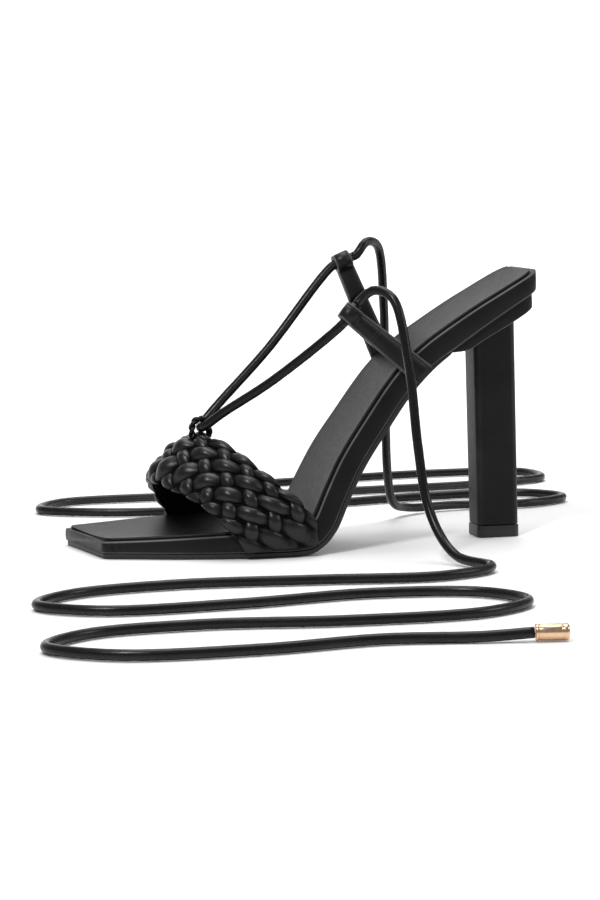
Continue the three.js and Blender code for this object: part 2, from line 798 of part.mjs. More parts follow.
function onAxis(eye, distance) {
  return eye.centre.clone().addScaledVector(eye.direction, distance);
}

function buildBridle() {
  const apex = new THREE.Vector3(loopCentre.x, 0, loopCentre.z);
  const side = (eye) => {
    const start = onAxis(eye, -eyeReach);
    const near = new THREE.Vector3(
      apex.x + bridleBendBack,
      Math.sign(start.y) * bridleBendOut,
      apex.z + bridleBendRise,
    );
    const away = near.clone().lerp(start, 0.12);
    const middle = near.clone().lerp(start, 0.5).add(new THREE.Vector3(0, 0, -bridleSag));
    return [onAxis(eye, eyeReach), eye.centre, start, middle, away, near];
  };
  return cordTube([...side(lateralEye), apex, ...side(medialEye).reverse()], cordRadius, bridleSteps);
}

// Route of a free end: it leaves the eye, falls beside the shoe and lies on the floor
function tieRoute(eye, side, fall, floor) {
  const start = onAxis(eye, eyeReach + clearance);
  const straight = onAxis(eye, eyeReach + clearance + cordRadius);
  const falling = fall.map((step) => new THREE.Vector3(
    start.x + step.back,
    start.y - side * step.out,
    start.z + step.up,
  ));
  const lying = floor.map((point, i) => (
    new THREE.Vector3(point.x, point.y, cordRadius + floorLift + (landingRise[i] ?? 0))
  ));
  const end = lying[lying.length - 1];
  const heading = end.clone().sub(lying[lying.length - 2]).normalize();
  const lieIn = end.clone().addScaledVector(heading, endLieIn).setZ(endRadius + floorLift);
  return { points: [start, straight, ...falling, ...lying, lieIn], heading, end: lieIn };
}

const lateralTie = tieRoute(lateralEye, 1, lateralFall, lateralFloor);
const medialTie = tieRoute(medialEye, -1, medialFall, medialFloor);

// Metal end: a short capped sleeve that lies in line with the cord
function buildEnd(route) {
  const profile = [
    [0, 0],
    [endRadius - endChamfer, 0],
    [endRadius, endChamfer],
    [endRadius, endLength - endChamfer],
    [endRadius - endChamfer, endLength],
    [0, endLength],
  ].map(([x, y]) => new THREE.Vector2(x, y));
  const geometry = new THREE.LatheGeometry(profile, endSides);
  const start = route.end.clone().addScaledVector(route.heading, clearance);
  const turn = new THREE.Quaternion().setFromUnitVectors(new THREE.Vector3(0, 1, 0), route.heading);
  geometry.applyQuaternion(turn);
  geometry.translate(start.x, start.y, start.z);
  return cleaned(geometry);
}

const leather = { color: 0x232425, roughness: 0.42, metalness: 0 };
const rubber = { color: 0x1b1b1c, roughness: 0.6, metalness: 0 };
const sock = { color: 0x2b2b2d, roughness: 0.38, metalness: 0 };
const cord = { color: 0x1c1d1e, roughness: 0.38, metalness: 0 };
const gold = { color: 0xc8996b, roughness: 0.25, metalness: 1 };

const pieces = [
  ['outsole', buildOutsole(), rubber],
  ['platform', buildPlatform(), leather],
  ['insole', buildInsole(), sock],
  ['heel', buildHeel(), leather],
  ['heel_tip', buildHeelTip(), rubber],
  ['vamp', buildVamp(), leather],
  ['throat_loop', buildThroatLoop(), cord],
  ['strap_lateral', buildStrap(lateralFrame), leather],
  ['strap_medial', buildStrap(medialFrame), leather],
  ['lace_bridle', buildBridle(), cord],
  ['tie_lateral', cordTube(lateralTie.points, cordRadius, tieSteps), cord],
  ['tie_medial', cordTube(medialTie.points, cordRadius, tieSteps), cord],
  ['tip_lateral', buildEnd(lateralTie), gold],
  ['tip_medial', buildEnd(medialTie), gold],
];

const sandal = new THREE.Group();
for (const [name, geometry, look] of pieces) {
  const mesh = new THREE.Mesh(geometry, new THREE.MeshStandardMaterial(look));
  mesh.name = name;
  sandal.add(mesh);
}

export default sandal;
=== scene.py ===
import math

import bmesh
import bpy
import numpy as np
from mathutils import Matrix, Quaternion, Vector
from mathutils.geometry import tessellate_polygon


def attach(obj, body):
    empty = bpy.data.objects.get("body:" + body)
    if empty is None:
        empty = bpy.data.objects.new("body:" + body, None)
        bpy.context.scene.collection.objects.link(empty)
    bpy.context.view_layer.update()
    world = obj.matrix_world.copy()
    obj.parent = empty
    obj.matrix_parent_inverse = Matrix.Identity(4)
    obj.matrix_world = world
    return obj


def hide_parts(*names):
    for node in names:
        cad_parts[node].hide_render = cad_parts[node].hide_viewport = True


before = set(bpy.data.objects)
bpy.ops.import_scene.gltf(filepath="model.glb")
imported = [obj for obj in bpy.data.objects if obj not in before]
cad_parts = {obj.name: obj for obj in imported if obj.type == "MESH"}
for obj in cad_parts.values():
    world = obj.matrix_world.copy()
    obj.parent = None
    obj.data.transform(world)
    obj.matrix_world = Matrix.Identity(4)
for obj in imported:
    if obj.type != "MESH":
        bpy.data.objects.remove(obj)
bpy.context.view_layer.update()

MM = 0.001

# Camera
CAMERA_AT = Vector((-0.2546, -1.1360, 0.1694))
AIM_AT = Vector((-0.0072, -0.0265, 0.044))
ROLL = math.radians(-0.94)

camera_data = bpy.data.cameras.new("camera")
camera = bpy.data.objects.new("camera", camera_data)
bpy.context.scene.collection.objects.link(camera)
camera.location = CAMERA_AT
camera.rotation_mode = "QUATERNION"
aim = (AIM_AT - CAMERA_AT).to_track_quat("-Z", "Y")
camera.rotation_quaternion = aim @ Quaternion((0, 0, 1), ROLL)
camera_data.sensor_width = 36
camera_data.lens = 108
camera_data.clip_start = 0.02
camera_data.clip_end = 30
camera_data.dof.use_dof = False
bpy.context.scene.camera = camera

# Sizes in millimetres: the solids' own, and some that only the looks need
CLEARANCE = 0.3
SOLE_LENGTH = 194.4
SEAT_HEIGHT = 107.9
BALL_HALF = 37
SOLE_THICKNESS = 11
OUTSOLE_THICKNESS = 2
TOE_SKEW = 0.2
TOE_SKEW_SHARE = 0.4
TOE_CORNER = 2.5
HEEL_CORNER = 6
RIM_RADIUS = 1.04
WRAP_RADIUS = 0.9
WRAP_BULGE = 0.35
OUTSOLE_INSET = 0.6
OUTSOLE_RADII = (0.3, 0.2)
INSOLE_INSET = 1.9
INSOLE_THICKNESS = 1.0
INSOLE_DISH = 0.7
INSOLE_RADII = (0.1, 0.9)
SOCK_GLUE = 0.05
# How strongly a painted highlight lightens a low edge and the heel's corners, from 0 to 1
LOW_EDGE_HIGHLIGHT = 0.8
COLUMN_EDGE_HIGHLIGHT = 0.12
COLUMN_SINK = 1.5
PLEATED_LENGTH = 12
# Each pleat: how far behind the toe it begins, its slant, its depth and its breadth
TOE_PLEATS = ((2.8, 0.45, 0.50, 0.8), (5.6, 0.30, 0.34, 0.7), (8.6, 0.15, 0.20, 0.7))
COLUMN_DEPTH = 18.5
COLUMN_TOP = 18
COLUMN_FOOT = 17
COLUMN_CORNER = 2.8
# How far the column's middle is in front of the heel end, and how far its top leans to the toe
COLUMN_FROM_BACK = 14.4
COLUMN_LEAN = 1.3
FLANGE_LIP = 0.8004
FLANGE_DEPTH = 5.2
FLANGE_INSET = 1.5
FLANGE_RADII = (0.5, 0.35)
FLANGE_BULGE = 0.15
TIP_HEIGHT = 5
VAMP_HEIGHT = 48
VAMP_WALL = 2.5
VAMP_WIDTH = 30
VAMP_CROWN = 6
WIDE_SHARE_OF_COLUMN = 0.58
WIDE_SHARE_OF_ROW = 0.60
COLUMN_PITCH = 8.1
COLUMN_TURN = math.radians(132)
ROW_PITCH = 8.7
ROW_TURN = math.radians(31)
BRAID_FROM = (56.7, 0.196)
CORD_RADIUS = 2
FLOOR_LIFT = 0.15
END_RADIUS = 3
END_LIE_IN = 18
LOOP_CORD = 1
LOOP_HEIGHT = 7.6
LOOP_FOOT_MARGIN = 0.5
LOOP_ACROSS = 0.83
LOOP_SEAT_RISE = 0.8
LOOP_PLAY = 0.7
LOOP_SINK = 1.5
BRIDLE_BEND_BACK = 1.2
BRIDLE_BEND_OUT = 4
BRIDLE_BEND_RISE = 0.8
BRIDLE_SAG = 2
STRAND_OFFSET = 0.72
STRAND_RADIUS = 0.82
STRAND_TWIST = 0.55
PAD_RISE = 2.4
STRAP_THICKNESS = 1.7
STRAP_BASE = 10.5
STRAP_TOP = 7.6
STRAP_FOLD = 13
EYE_WALL = 1.6
EYE_PLAY = 0.4
EYE_STAND_OFF = 1
LATERAL_STRAP = dict(at=0.7330, length=42, turn=7, bow=1.5)
MEDIAL_STRAP = dict(at=0.7237, length=53, turn=-22, bow=-1)

# Shapes as tables: each row is one place, its numbers are shares of the sizes above
SOLE_NAMES = ("at", "up", "thick", "tread", "lateral", "medial", "lean")
SOLE_ROWS = (
    (0.000, 0.0000, 0.66, 1.00, 0.46, 0.88, 1.0),
    (0.0757, 0.0000, 0.72, 1.00, 0.62, 0.925, 1.0),
    (0.1543, 0.0000, 0.80, 1.00, 0.78, 0.96, 1.0),
    (0.2546, 0.0000, 0.90, 1.00, 0.92, 0.99, 1.0),
    (0.3341, 0.0000, 0.95, 1.00, 0.99, 1.00, 1.0),
    (0.4117, 0.0000, 0.98, 1.00, 1.00, 0.955, 1.0),
    (0.4579, 0.0056, 1.00, 1.00, 0.985, 0.89, 1.0),
    (0.4912, 0.0361, 1.00, 1.00, 0.96, 0.83, 1.0),
    (0.5196, 0.0927, 1.00, 1.00, 0.935, 0.78, 1.0),
    (0.5504, 0.2057, 1.00, 1.00, 0.90, 0.725, 1.0),
    (0.5839, 0.3207, 1.00, 1.00, 0.865, 0.68, 1.0),
    (0.6327, 0.4486, 1.00, 1.00, 0.82, 0.65, 1.0),
    (0.7099, 0.6320, 0.99, 0.95, 0.765, 0.64, 1.0),
    (0.7665, 0.7266, 0.95, 0.60, 0.725, 0.65, 1.0),
    (0.8153, 0.7887, 0.92, 0.35, 0.70, 0.66, 1.0),
    (0.8693, 0.8536, 0.88, 0.35, 0.685, 0.67, 0.9),
    (0.9260, 0.9184, 0.85, 0.35, 0.675, 0.67, 0.5),
    (1.000, 1.0000, 0.87, 0.35, 0.65, 0.65, 0.0),
)
FLANGE_NAMES = ("at", "drop")
FLANGE_ROWS = (
    (0.8004, 0.08),
    (0.8333, 0.70),
    (0.8693, 0.76),
    (0.9260, 0.95),
    (1.000, 1.08),
)
VAMP_NAMES = ("side", "front", "frontUp", "rear", "rearUp", "crown")
VAMP_ROWS = (
    (1.000, 0.3178, 0.054, 0.4673, 0.100, 0.00),
    (1.000, 0.2995, 0.183, 0.4588, 0.280, 0.00),
    (0.985, 0.2743, 0.314, 0.4321, 0.447, 0.08),
    (0.900, 0.2460, 0.432, 0.3912, 0.594, 0.33),
    (0.660, 0.2147, 0.530, 0.3490, 0.742, 0.67),
    (0.340, 0.1806, 0.594, 0.3093, 0.880, 0.92),
    (0.000, 0.1572, 0.632, 0.2727, 0.955, 1.00),
    (-0.340, 0.1533, 0.622, 0.2666, 0.920, 0.80),
    (-0.660, 0.1622, 0.560, 0.2844, 0.815, 0.55),
    (-0.900, 0.1801, 0.460, 0.3232, 0.660, 0.28),
    (-0.985, 0.1990, 0.330, 0.3640, 0.470, 0.08),
    (-1.000, 0.2198, 0.190, 0.3997, 0.265, 0.00),
    (-1.000, 0.2418, 0.054, 0.4285, 0.060, 0.00),
)
# How a free lace falls from its eye: how far back, out and up each point is
LATERAL_FALL = ((6.5, 2, 6), (13, 10, 3), (17, 19, -22), (19, 26, -58), (21, 31, -80), (24, 40, -93.5))
MEDIAL_FALL = ((6.5, 2, 6), (14, 10, 4), (19, 20, -22), (21, 27, -66), (23, 32, -102), (27, 39, -115))
# Where the free laces lie: how high over the floor the first points are, then all the points
LANDING_RISE = (1.5, 0.3)
LATERAL_FLOOR = (
    (46, -80), (54, -103), (30, -118), (-20, -112), (-75, -106), (-118, -116), (-134, -138),
    (-112, -158), (-60, -158), (-8, -150), (32, -160), (44, -184), (22, -204), (-30, -206),
    (-82, -198), (-124, -204), (-142, -226), (-120, -248), (-72, -252), (-28, -246), (6, -252),
)
MEDIAL_FLOOR = (
    (66, 74), (92, 84), (128, 82), (150, 98), (136, 120), (88, 122), (34, 112), (-20, 108),
    (-70, 116), (-98, 136), (-84, 160), (-36, 164), (20, 156), (76, 156), (128, 160),
    (164, 176), (160, 204), (116, 212), (60, 206), (14, 200),
)


def column(rows, names, name):
    at = np.array([row[0] for row in rows], float)
    value = np.array([row[names.index(name)] for row in rows], float)
    rise = np.diff(value) / np.diff(at)
    before = np.concatenate([rise[:1], rise])
    after = np.concatenate([rise, rise[-1:]])
    both = before * after
    slope = np.where(both > 0, 2 * both / np.where(before + after == 0, 1, before + after), 0)

    def curve(share):
        x = np.clip(share, at[0], at[-1])
        i = np.clip(np.searchsorted(at, x, side="left") - 1, 0, len(at) - 2)
        span = at[i + 1] - at[i]
        t = (x - at[i]) / span
        t2, t3 = t * t, t * t * t
        return (
            value[i] * (2 * t3 - 3 * t2 + 1)
            + slope[i] * span * (t3 - 2 * t2 + t)
            + value[i + 1] * (3 * t2 - 2 * t3)
            + slope[i + 1] * span * (t3 - t2)
        )

    return curve


sole = {name: column(SOLE_ROWS, SOLE_NAMES, name) for name in SOLE_NAMES[1:]}
flange_drop = column(FLANGE_ROWS, FLANGE_NAMES, "drop")
VAMP_AT = ("at", *VAMP_NAMES)
VAMP_EVEN = [(i / (len(VAMP_ROWS) - 1), *row) for i, row in enumerate(VAMP_ROWS)]
vamp = {name: column(VAMP_EVEN, VAMP_AT, name) for name in VAMP_NAMES}

TOE_REACH = TOE_SKEW * (SOLE_ROWS[0][SOLE_NAMES.index("medial")] * BALL_HALF - TOE_CORNER)
TOE_X = (TOE_REACH - SOLE_LENGTH) / 2


def tread_x(at):
    return TOE_X + at * SOLE_LENGTH


def tread_z(at):
    return sole["up"](at) * SEAT_HEIGHT


def slope_at(at):
    low = np.maximum(at - 0.002, 0)
    high = np.minimum(at + 0.002, 1)
    return np.arctan2(tread_z(high) - tread_z(low), (high - low) * SOLE_LENGTH)


def half_width(at, side):
    return BALL_HALF * np.where(np.asarray(side) > 0, sole["lateral"](at), sole["medial"](at))


def underside(at):
    return OUTSOLE_THICKNESS * sole["tread"](at) + CLEARANCE


def rim_rise(at):
    return SOLE_THICKNESS * sole["thick"](at)


def smooth(x, low, high):
    t = np.clip((x - low) / (high - low), 0, 1)
    return t * t * (3 - 2 * t)


def sole_point(at, across, up):
    lean = slope_at(at) * sole["lean"](at)
    skew = TOE_SKEW * (1 - smooth(at, 0, TOE_SKEW_SHARE))
    return np.stack(
        np.broadcast_arrays(
            tread_x(at) + skew * across - np.sin(lean) * up,
            -across,
            tread_z(at) + np.cos(lean) * up,
        ),
        axis=-1,
    )


def corner_draw(distance, radius):
    inside = np.clip(radius - distance, 0, radius)
    return radius - np.sqrt(radius * radius - inside * inside)


# Helpers that make meshes
def mesh_object(name, points, faces, material, edge=None):
    mesh = bpy.data.meshes.new(name)
    mesh.from_pydata([tuple(p) for p in np.asarray(points, float) * MM], [], faces)
    if edge is not None:
        mesh.attributes.new("edge", "FLOAT", "POINT").data.foreach_set("value", np.asarray(edge, float))
    mesh.update()
    mesh.polygons.foreach_set("use_smooth", [True] * len(mesh.polygons))
    made = bpy.data.objects.new(name, mesh)
    bpy.context.scene.collection.objects.link(made)
    mesh.materials.append(material)
    return made


def recalc(obj):
    work = bmesh.new()
    work.from_mesh(obj.data)
    bmesh.ops.recalc_face_normals(work, faces=work.faces)
    work.to_mesh(obj.data)
    work.free()
    return obj


def finish_piece(obj, slot_name, *nodes):
    recalc(obj)
    if nodes:
        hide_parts(*nodes)
    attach(obj, "root")
    return obj


def loft_faces(rings, count):
    """Faces between rings of points that follow each other, closed at both ends."""
    faces = []
    for r in range(rings - 1):
        for i in range(count):
            a, b = r * count + i, r * count + (i + 1) % count
            faces.append((a, b, b + count, a + count))
    end = (rings - 1) * count
    faces.append(tuple(range(count - 1, -1, -1)))
    faces.append(tuple(range(end, end + count)))
    return faces


def stations(start, stop, front, back, fine=0.0, count=150):
    """Shares of the length where a layer has a section; close together over the first fine mm."""
    corner = np.array([0, 0.02, 0.08, 0.18, 0.32, 0.5, 0.72, 1.0])
    a = start + corner * front / SOLE_LENGTH
    if fine:
        step = 0.3 / SOLE_LENGTH
        a = np.concatenate([a, np.arange(a[-1] + step, start + fine / SOLE_LENGTH, step)])
    b = stop - corner[::-1] * back / SOLE_LENGTH
    middle = np.linspace(a[-1], b[0], count)[1:-1]
    return np.concatenate([a, middle, b])


def pleat_depth(from_toe, below_rim, side_height):
    """Small pleats of the wrap beside a toe corner: slanted troughs that fade down the side, in mm."""
    down = below_rim / side_height
    depth = 0
    for begins, slant, deep, broad in TOE_PLEATS:
        away = (from_toe - begins - slant * below_rim) / broad
        depth = depth + deep * (np.exp(-(away ** 2)) - 0.35 * np.exp(-((away - 1.7) ** 2)))
    return depth * np.clip(down * 6, 0, 1) * (1 - smooth(down, 0.45, 0.95))


def outline(lateral, medial, low, high, low_radius, high_radius, bulge=0.0, steps=7, top=8, rows=11):
    """Section across the sole: down the lateral side, along the bottom, up the medial side, along the top.
    The third value of a point says how strongly a painted highlight lightens the edge there."""
    points = []

    def arc(cx, cy, radius, start, edge):
        for i in range(steps + 1):
            angle = math.radians(start - 90 * i / steps)
            # Painted highlight along the arc, strongest in its middle
            painted_light_edge = edge * math.sin(math.pi * i / steps) ** 3
            points.append((cx + radius * math.cos(angle), cy + radius * math.sin(angle), painted_light_edge))

    def side(x, y0, y1, sign):
        for i in range(1, rows):
            t = i / rows
            points.append((x + sign * bulge * math.sin(math.pi * t), y0 + (y1 - y0) * t, 0))

    def flat(x0, x1, y):
        for i in range(1, top):
            points.append((x0 + (x1 - x0) * i / top, y, 0))

    arc(lateral - low_radius, low + low_radius, low_radius, 0, LOW_EDGE_HIGHLIGHT)
    flat(lateral - low_radius, low_radius - medial, low)
    arc(low_radius - medial, low + low_radius, low_radius, -90, LOW_EDGE_HIGHLIGHT)
    side(-medial, low + low_radius, high - high_radius, -1)
    arc(high_radius - medial, high - high_radius, high_radius, -180, 1)
    flat(high_radius - medial, lateral - high_radius, high)
    arc(lateral - high_radius, high - high_radius, high_radius, -270, 1)
    side(lateral, high - high_radius, low + low_radius, 1)
    return points


def sole_layer(
    name, material, start, stop, inset, front, back, low, high, radii, bulge=0.0, dish=0.0, pleated=0.0
):
    low_radius, high_radius = radii
    rings, edge = [], []
    for at in stations(start, stop, front, back, pleated):
        draw = corner_draw((at - start) * SOLE_LENGTH, front) + corner_draw((stop - at) * SOLE_LENGTH, back)
        lateral = float(half_width(at, 1)) - inset - float(draw)
        medial = float(half_width(at, -1)) - inset - float(draw)
        section = outline(lateral, medial, float(low(at)), float(high(at)), low_radius, high_radius, bulge)
        section = np.array(section)
        if pleated:
            top, bottom = float(high(at)), float(low(at))
            sink = pleat_depth((at - start) * SOLE_LENGTH, top - section[:, 1], top - bottom)
            on_side = (section[:, 0] > lateral - 0.5) | (section[:, 0] < 0.5 - medial)
            section[:, 0] -= np.where(on_side, sink * np.sign(section[:, 0]), 0)
        if dish:
            middle = (lateral - medial) / 2
            share = 1 - np.clip(np.abs(section[:, 0] - middle) / ((lateral + medial) / 2), 0, 1) ** 2
            section[:, 1] -= np.where(section[:, 1] > float(high(at)) - 0.01, dish * share, 0)
        rings.append(sole_point(at, section[:, 0], section[:, 1]))
        edge.extend(section[:, 2])
    faces = loft_faces(len(rings), len(rings[0]))
    return mesh_object(name, np.concatenate(rings), faces, material, edge)


# Surface of the vamp
def vamp_middle(turn, across):
    at = vamp["front"](turn) * (1 - across) + vamp["rear"](turn) * across
    up = (vamp["frontUp"](turn) * (1 - across) + vamp["rearUp"](turn) * across) * VAMP_HEIGHT
    crown = VAMP_CROWN * vamp["crown"](turn) * 4 * across * (1 - across)
    side = vamp["side"](turn)
    outer = half_width(at, side) + CLEARANCE + VAMP_WALL / 2
    return np.stack(np.broadcast_arrays(tread_x(at), -side * outer, up + crown), axis=-1)


def vamp_normal(turn, across):
    step = 0.004
    t0, t1 = np.maximum(turn - step, 0), np.minimum(turn + step, 1)
    a0, a1 = np.maximum(across - step, 0), np.minimum(across + step, 1)
    along = vamp_middle(t1, across) - vamp_middle(t0, across)
    over = vamp_middle(turn, a1) - vamp_middle(turn, a0)
    normal = np.cross(over, along)
    return normal / np.linalg.norm(normal, axis=-1, keepdims=True)


samples = np.linspace(0, 1, 241)
middle_line = vamp_middle(samples, np.full_like(samples, 0.5))
vamp_lengths = np.concatenate([[0], np.cumsum(np.linalg.norm(np.diff(middle_line, axis=0), axis=1))])
VAMP_LENGTH = vamp_lengths[-1]


def turn_at(length):
    return np.interp(length, vamp_lengths, samples)


def vamp_place(length, b, height):
    """A point over the band: length along it, b across it in mm, height over its outer face.
    Past an edge the point wraps round the edge."""
    turn = turn_at(np.clip(length, 0, VAMP_LENGTH))
    inside = np.clip(b, 0, VAMP_WIDTH)
    past = np.abs(b - inside)
    across = inside / VAMP_WIDTH
    normal = vamp_normal(turn, across)
    middle = vamp_middle(turn, across)
    edge = np.where(b > VAMP_WIDTH / 2, 1.0, -1.0)
    step = 0.01
    over = vamp_middle(turn, np.clip(across + step, 0, 1)) - vamp_middle(turn, np.clip(across - step, 0, 1))
    over = over / np.linalg.norm(over, axis=-1, keepdims=True) * edge[..., None]
    radius = VAMP_WALL / 2
    angle = np.clip(past / (radius + 0.6), 0, math.pi * 0.8)
    reach = (radius + height)[..., None]
    turned = normal * np.cos(angle)[..., None] + over * np.sin(angle)[..., None]
    return middle + turned * reach


# Straps and cord
def strap_place(strap, side):
    at, length, turn, bow = strap["at"], strap["length"], strap["turn"], strap["bow"]
    normal = float(slope_at(at)) + math.radians(turn)
    up = np.array([-math.sin(normal), 0, math.cos(normal)])
    along = np.array([math.cos(normal), 0, math.sin(normal)])
    reach = STRAP_BASE / (2 * SOLE_LENGTH) * math.cos(float(slope_at(at)))
    front, back = float(half_width(at - reach, side)), float(half_width(at + reach, side))
    taper = (back - front) / STRAP_BASE
    out = max(front, back, float(half_width(at, side)))
    middle = (front + back) / 2
    base = sole_point(at, side * (middle + CLEARANCE + (out - middle) / 4), float(underside(at)))
    cut = math.tan(math.radians(turn))

    def place(n, d, w):
        share = min(max(d / length, 0), 1)
        width = STRAP_BASE + (STRAP_TOP - STRAP_BASE) * share
        offset = n + bow * share * share + taper * w * width
        return (
            base
            + up * (d - cut * w * width * (1 - share))
            + along * (w * width)
            + np.array([0, -side * offset, 0])
        )

    return place


lateral_place = strap_place(LATERAL_STRAP, 1)
medial_place = strap_place(MEDIAL_STRAP, -1)


def eye_axis(place, length):
    centre = place(0, length, 0)
    direction = place(0, length, 0.5) - centre
    return centre, direction / np.linalg.norm(direction)


lateral_eye = eye_axis(lateral_place, LATERAL_STRAP["length"])
medial_eye = eye_axis(medial_place, MEDIAL_STRAP["length"])
EYE_REACH = STRAP_TOP / 2 + EYE_STAND_OFF


def on_axis(eye, distance):
    return eye[0] + eye[1] * distance


def smooth_line(points, spacing=2.0):
    """Centripetal curve through the points, sampled closely."""
    p = [np.asarray(q, float) for q in points]
    p = [2 * p[0] - p[1]] + p + [2 * p[-1] - p[-2]]
    line = []
    for i in range(1, len(p) - 2):
        p0, p1, p2, p3 = p[i - 1], p[i], p[i + 1], p[i + 2]
        d0, d1, d2 = (max(np.linalg.norm(b - a), 1e-6) ** 0.5 for a, b in ((p0, p1), (p1, p2), (p2, p3)))
        m1 = ((p1 - p0) / d0 - (p2 - p0) / (d0 + d1) + (p2 - p1) / d1) * d1
        m2 = ((p2 - p1) / d1 - (p3 - p1) / (d1 + d2) + (p3 - p2) / d2) * d1
        steps = max(2, int(np.linalg.norm(p2 - p1) / spacing))
        for k in range(steps):
            t = k / steps
            t2, t3 = t * t, t * t * t
            line.append(
                p1 * (2 * t3 - 3 * t2 + 1) + m1 * (t3 - 2 * t2 + t) + p2 * (3 * t2 - 2 * t3) + m2 * (t3 - t2)
            )
    line.append(p[-2])
    return np.array(line)


def cord_tube(name, line, radius, material, seam=-0.6, sides=26):
    """Rolled leather cord: a round tube with one shallow seam along it, given as an angle from the side."""
    line = np.asarray(line, float)
    ahead = np.gradient(line, axis=0)
    ahead /= np.linalg.norm(ahead, axis=1, keepdims=True)
    out = np.cross(ahead[0], [0, 0, 1.0])
    out /= np.linalg.norm(out)
    travelled = np.concatenate([[0], np.cumsum(np.linalg.norm(np.diff(line, axis=0), axis=1))])
    points, edge = [], []
    for i in range(len(line)):
        out = out - ahead[i] * np.dot(out, ahead[i])
        out /= np.linalg.norm(out)
        up = np.cross(out, ahead[i])
        ripple = 1 + 0.012 * math.sin(travelled[i] * 0.9) * math.sin(travelled[i] * 0.23 + 1)
        for k in range(sides):
            angle = 2 * math.pi * k / sides
            away = (angle - seam + math.pi) % (2 * math.pi) - math.pi
            depth = 0.16 * math.exp(-((away / 0.17) ** 2)) - 0.02 * math.exp(-((away / 0.5) ** 2))
            r = radius * (1 - depth) * ripple
            points.append(line[i] + r * (out * math.cos(angle) + up * math.sin(angle)))
            # Two bands beside the seam get a painted highlight
            edge.append(math.exp(-(((abs(away) - 0.42) / 0.16) ** 2)))
    return mesh_object(name, points, loft_faces(len(line), sides), material, edge)


def cord_object(name, line, radius, material):
    curve = bpy.data.curves.new(name, "CURVE")
    curve.dimensions = "3D"
    spline = curve.splines.new("POLY")
    spline.points.add(len(line) - 1)
    for point, co in zip(spline.points, line * MM):
        point.co = (*co, 1)
    curve.bevel_depth = radius * MM
    curve.bevel_resolution = 5
    curve.use_fill_caps = True
    curve.materials.append(material)
    spline.use_smooth = True
    made = bpy.data.objects.new(name, curve)
    bpy.context.scene.collection.objects.link(made)
    return made


def tie_points(eye, side, fall, floor):
    start = on_axis(eye, EYE_REACH + CLEARANCE)
    straight = on_axis(eye, EYE_REACH + CLEARANCE + CORD_RADIUS)
    falling = [start + np.array([back, -side * out, up]) for back, out, up in fall]
    lying = [np.array([x, y, CORD_RADIUS + FLOOR_LIFT]) for x, y in floor]
    for point, rise in zip(lying, LANDING_RISE):
        point[2] += rise
    heading = lying[-1] - lying[-2]
    heading = heading / np.linalg.norm(heading)
    lie_in = lying[-1] + heading * END_LIE_IN
    lie_in[2] = END_RADIUS + FLOOR_LIFT
    return [start, straight, *falling, *lying, lie_in], heading, lie_in


# Materials
def nodes_of(material):
    material.use_nodes = True
    tree = material.node_tree
    return tree, tree.nodes, tree.links, tree.nodes["Principled BSDF"]


def ramp(nodes, low, high, low_color, high_color):
    made = nodes.new("ShaderNodeValToRGB")
    made.color_ramp.elements[0].position = low
    made.color_ramp.elements[1].position = high
    made.color_ramp.elements[0].color = (*low_color, 1)
    made.color_ramp.elements[1].color = (*high_color, 1)
    return made


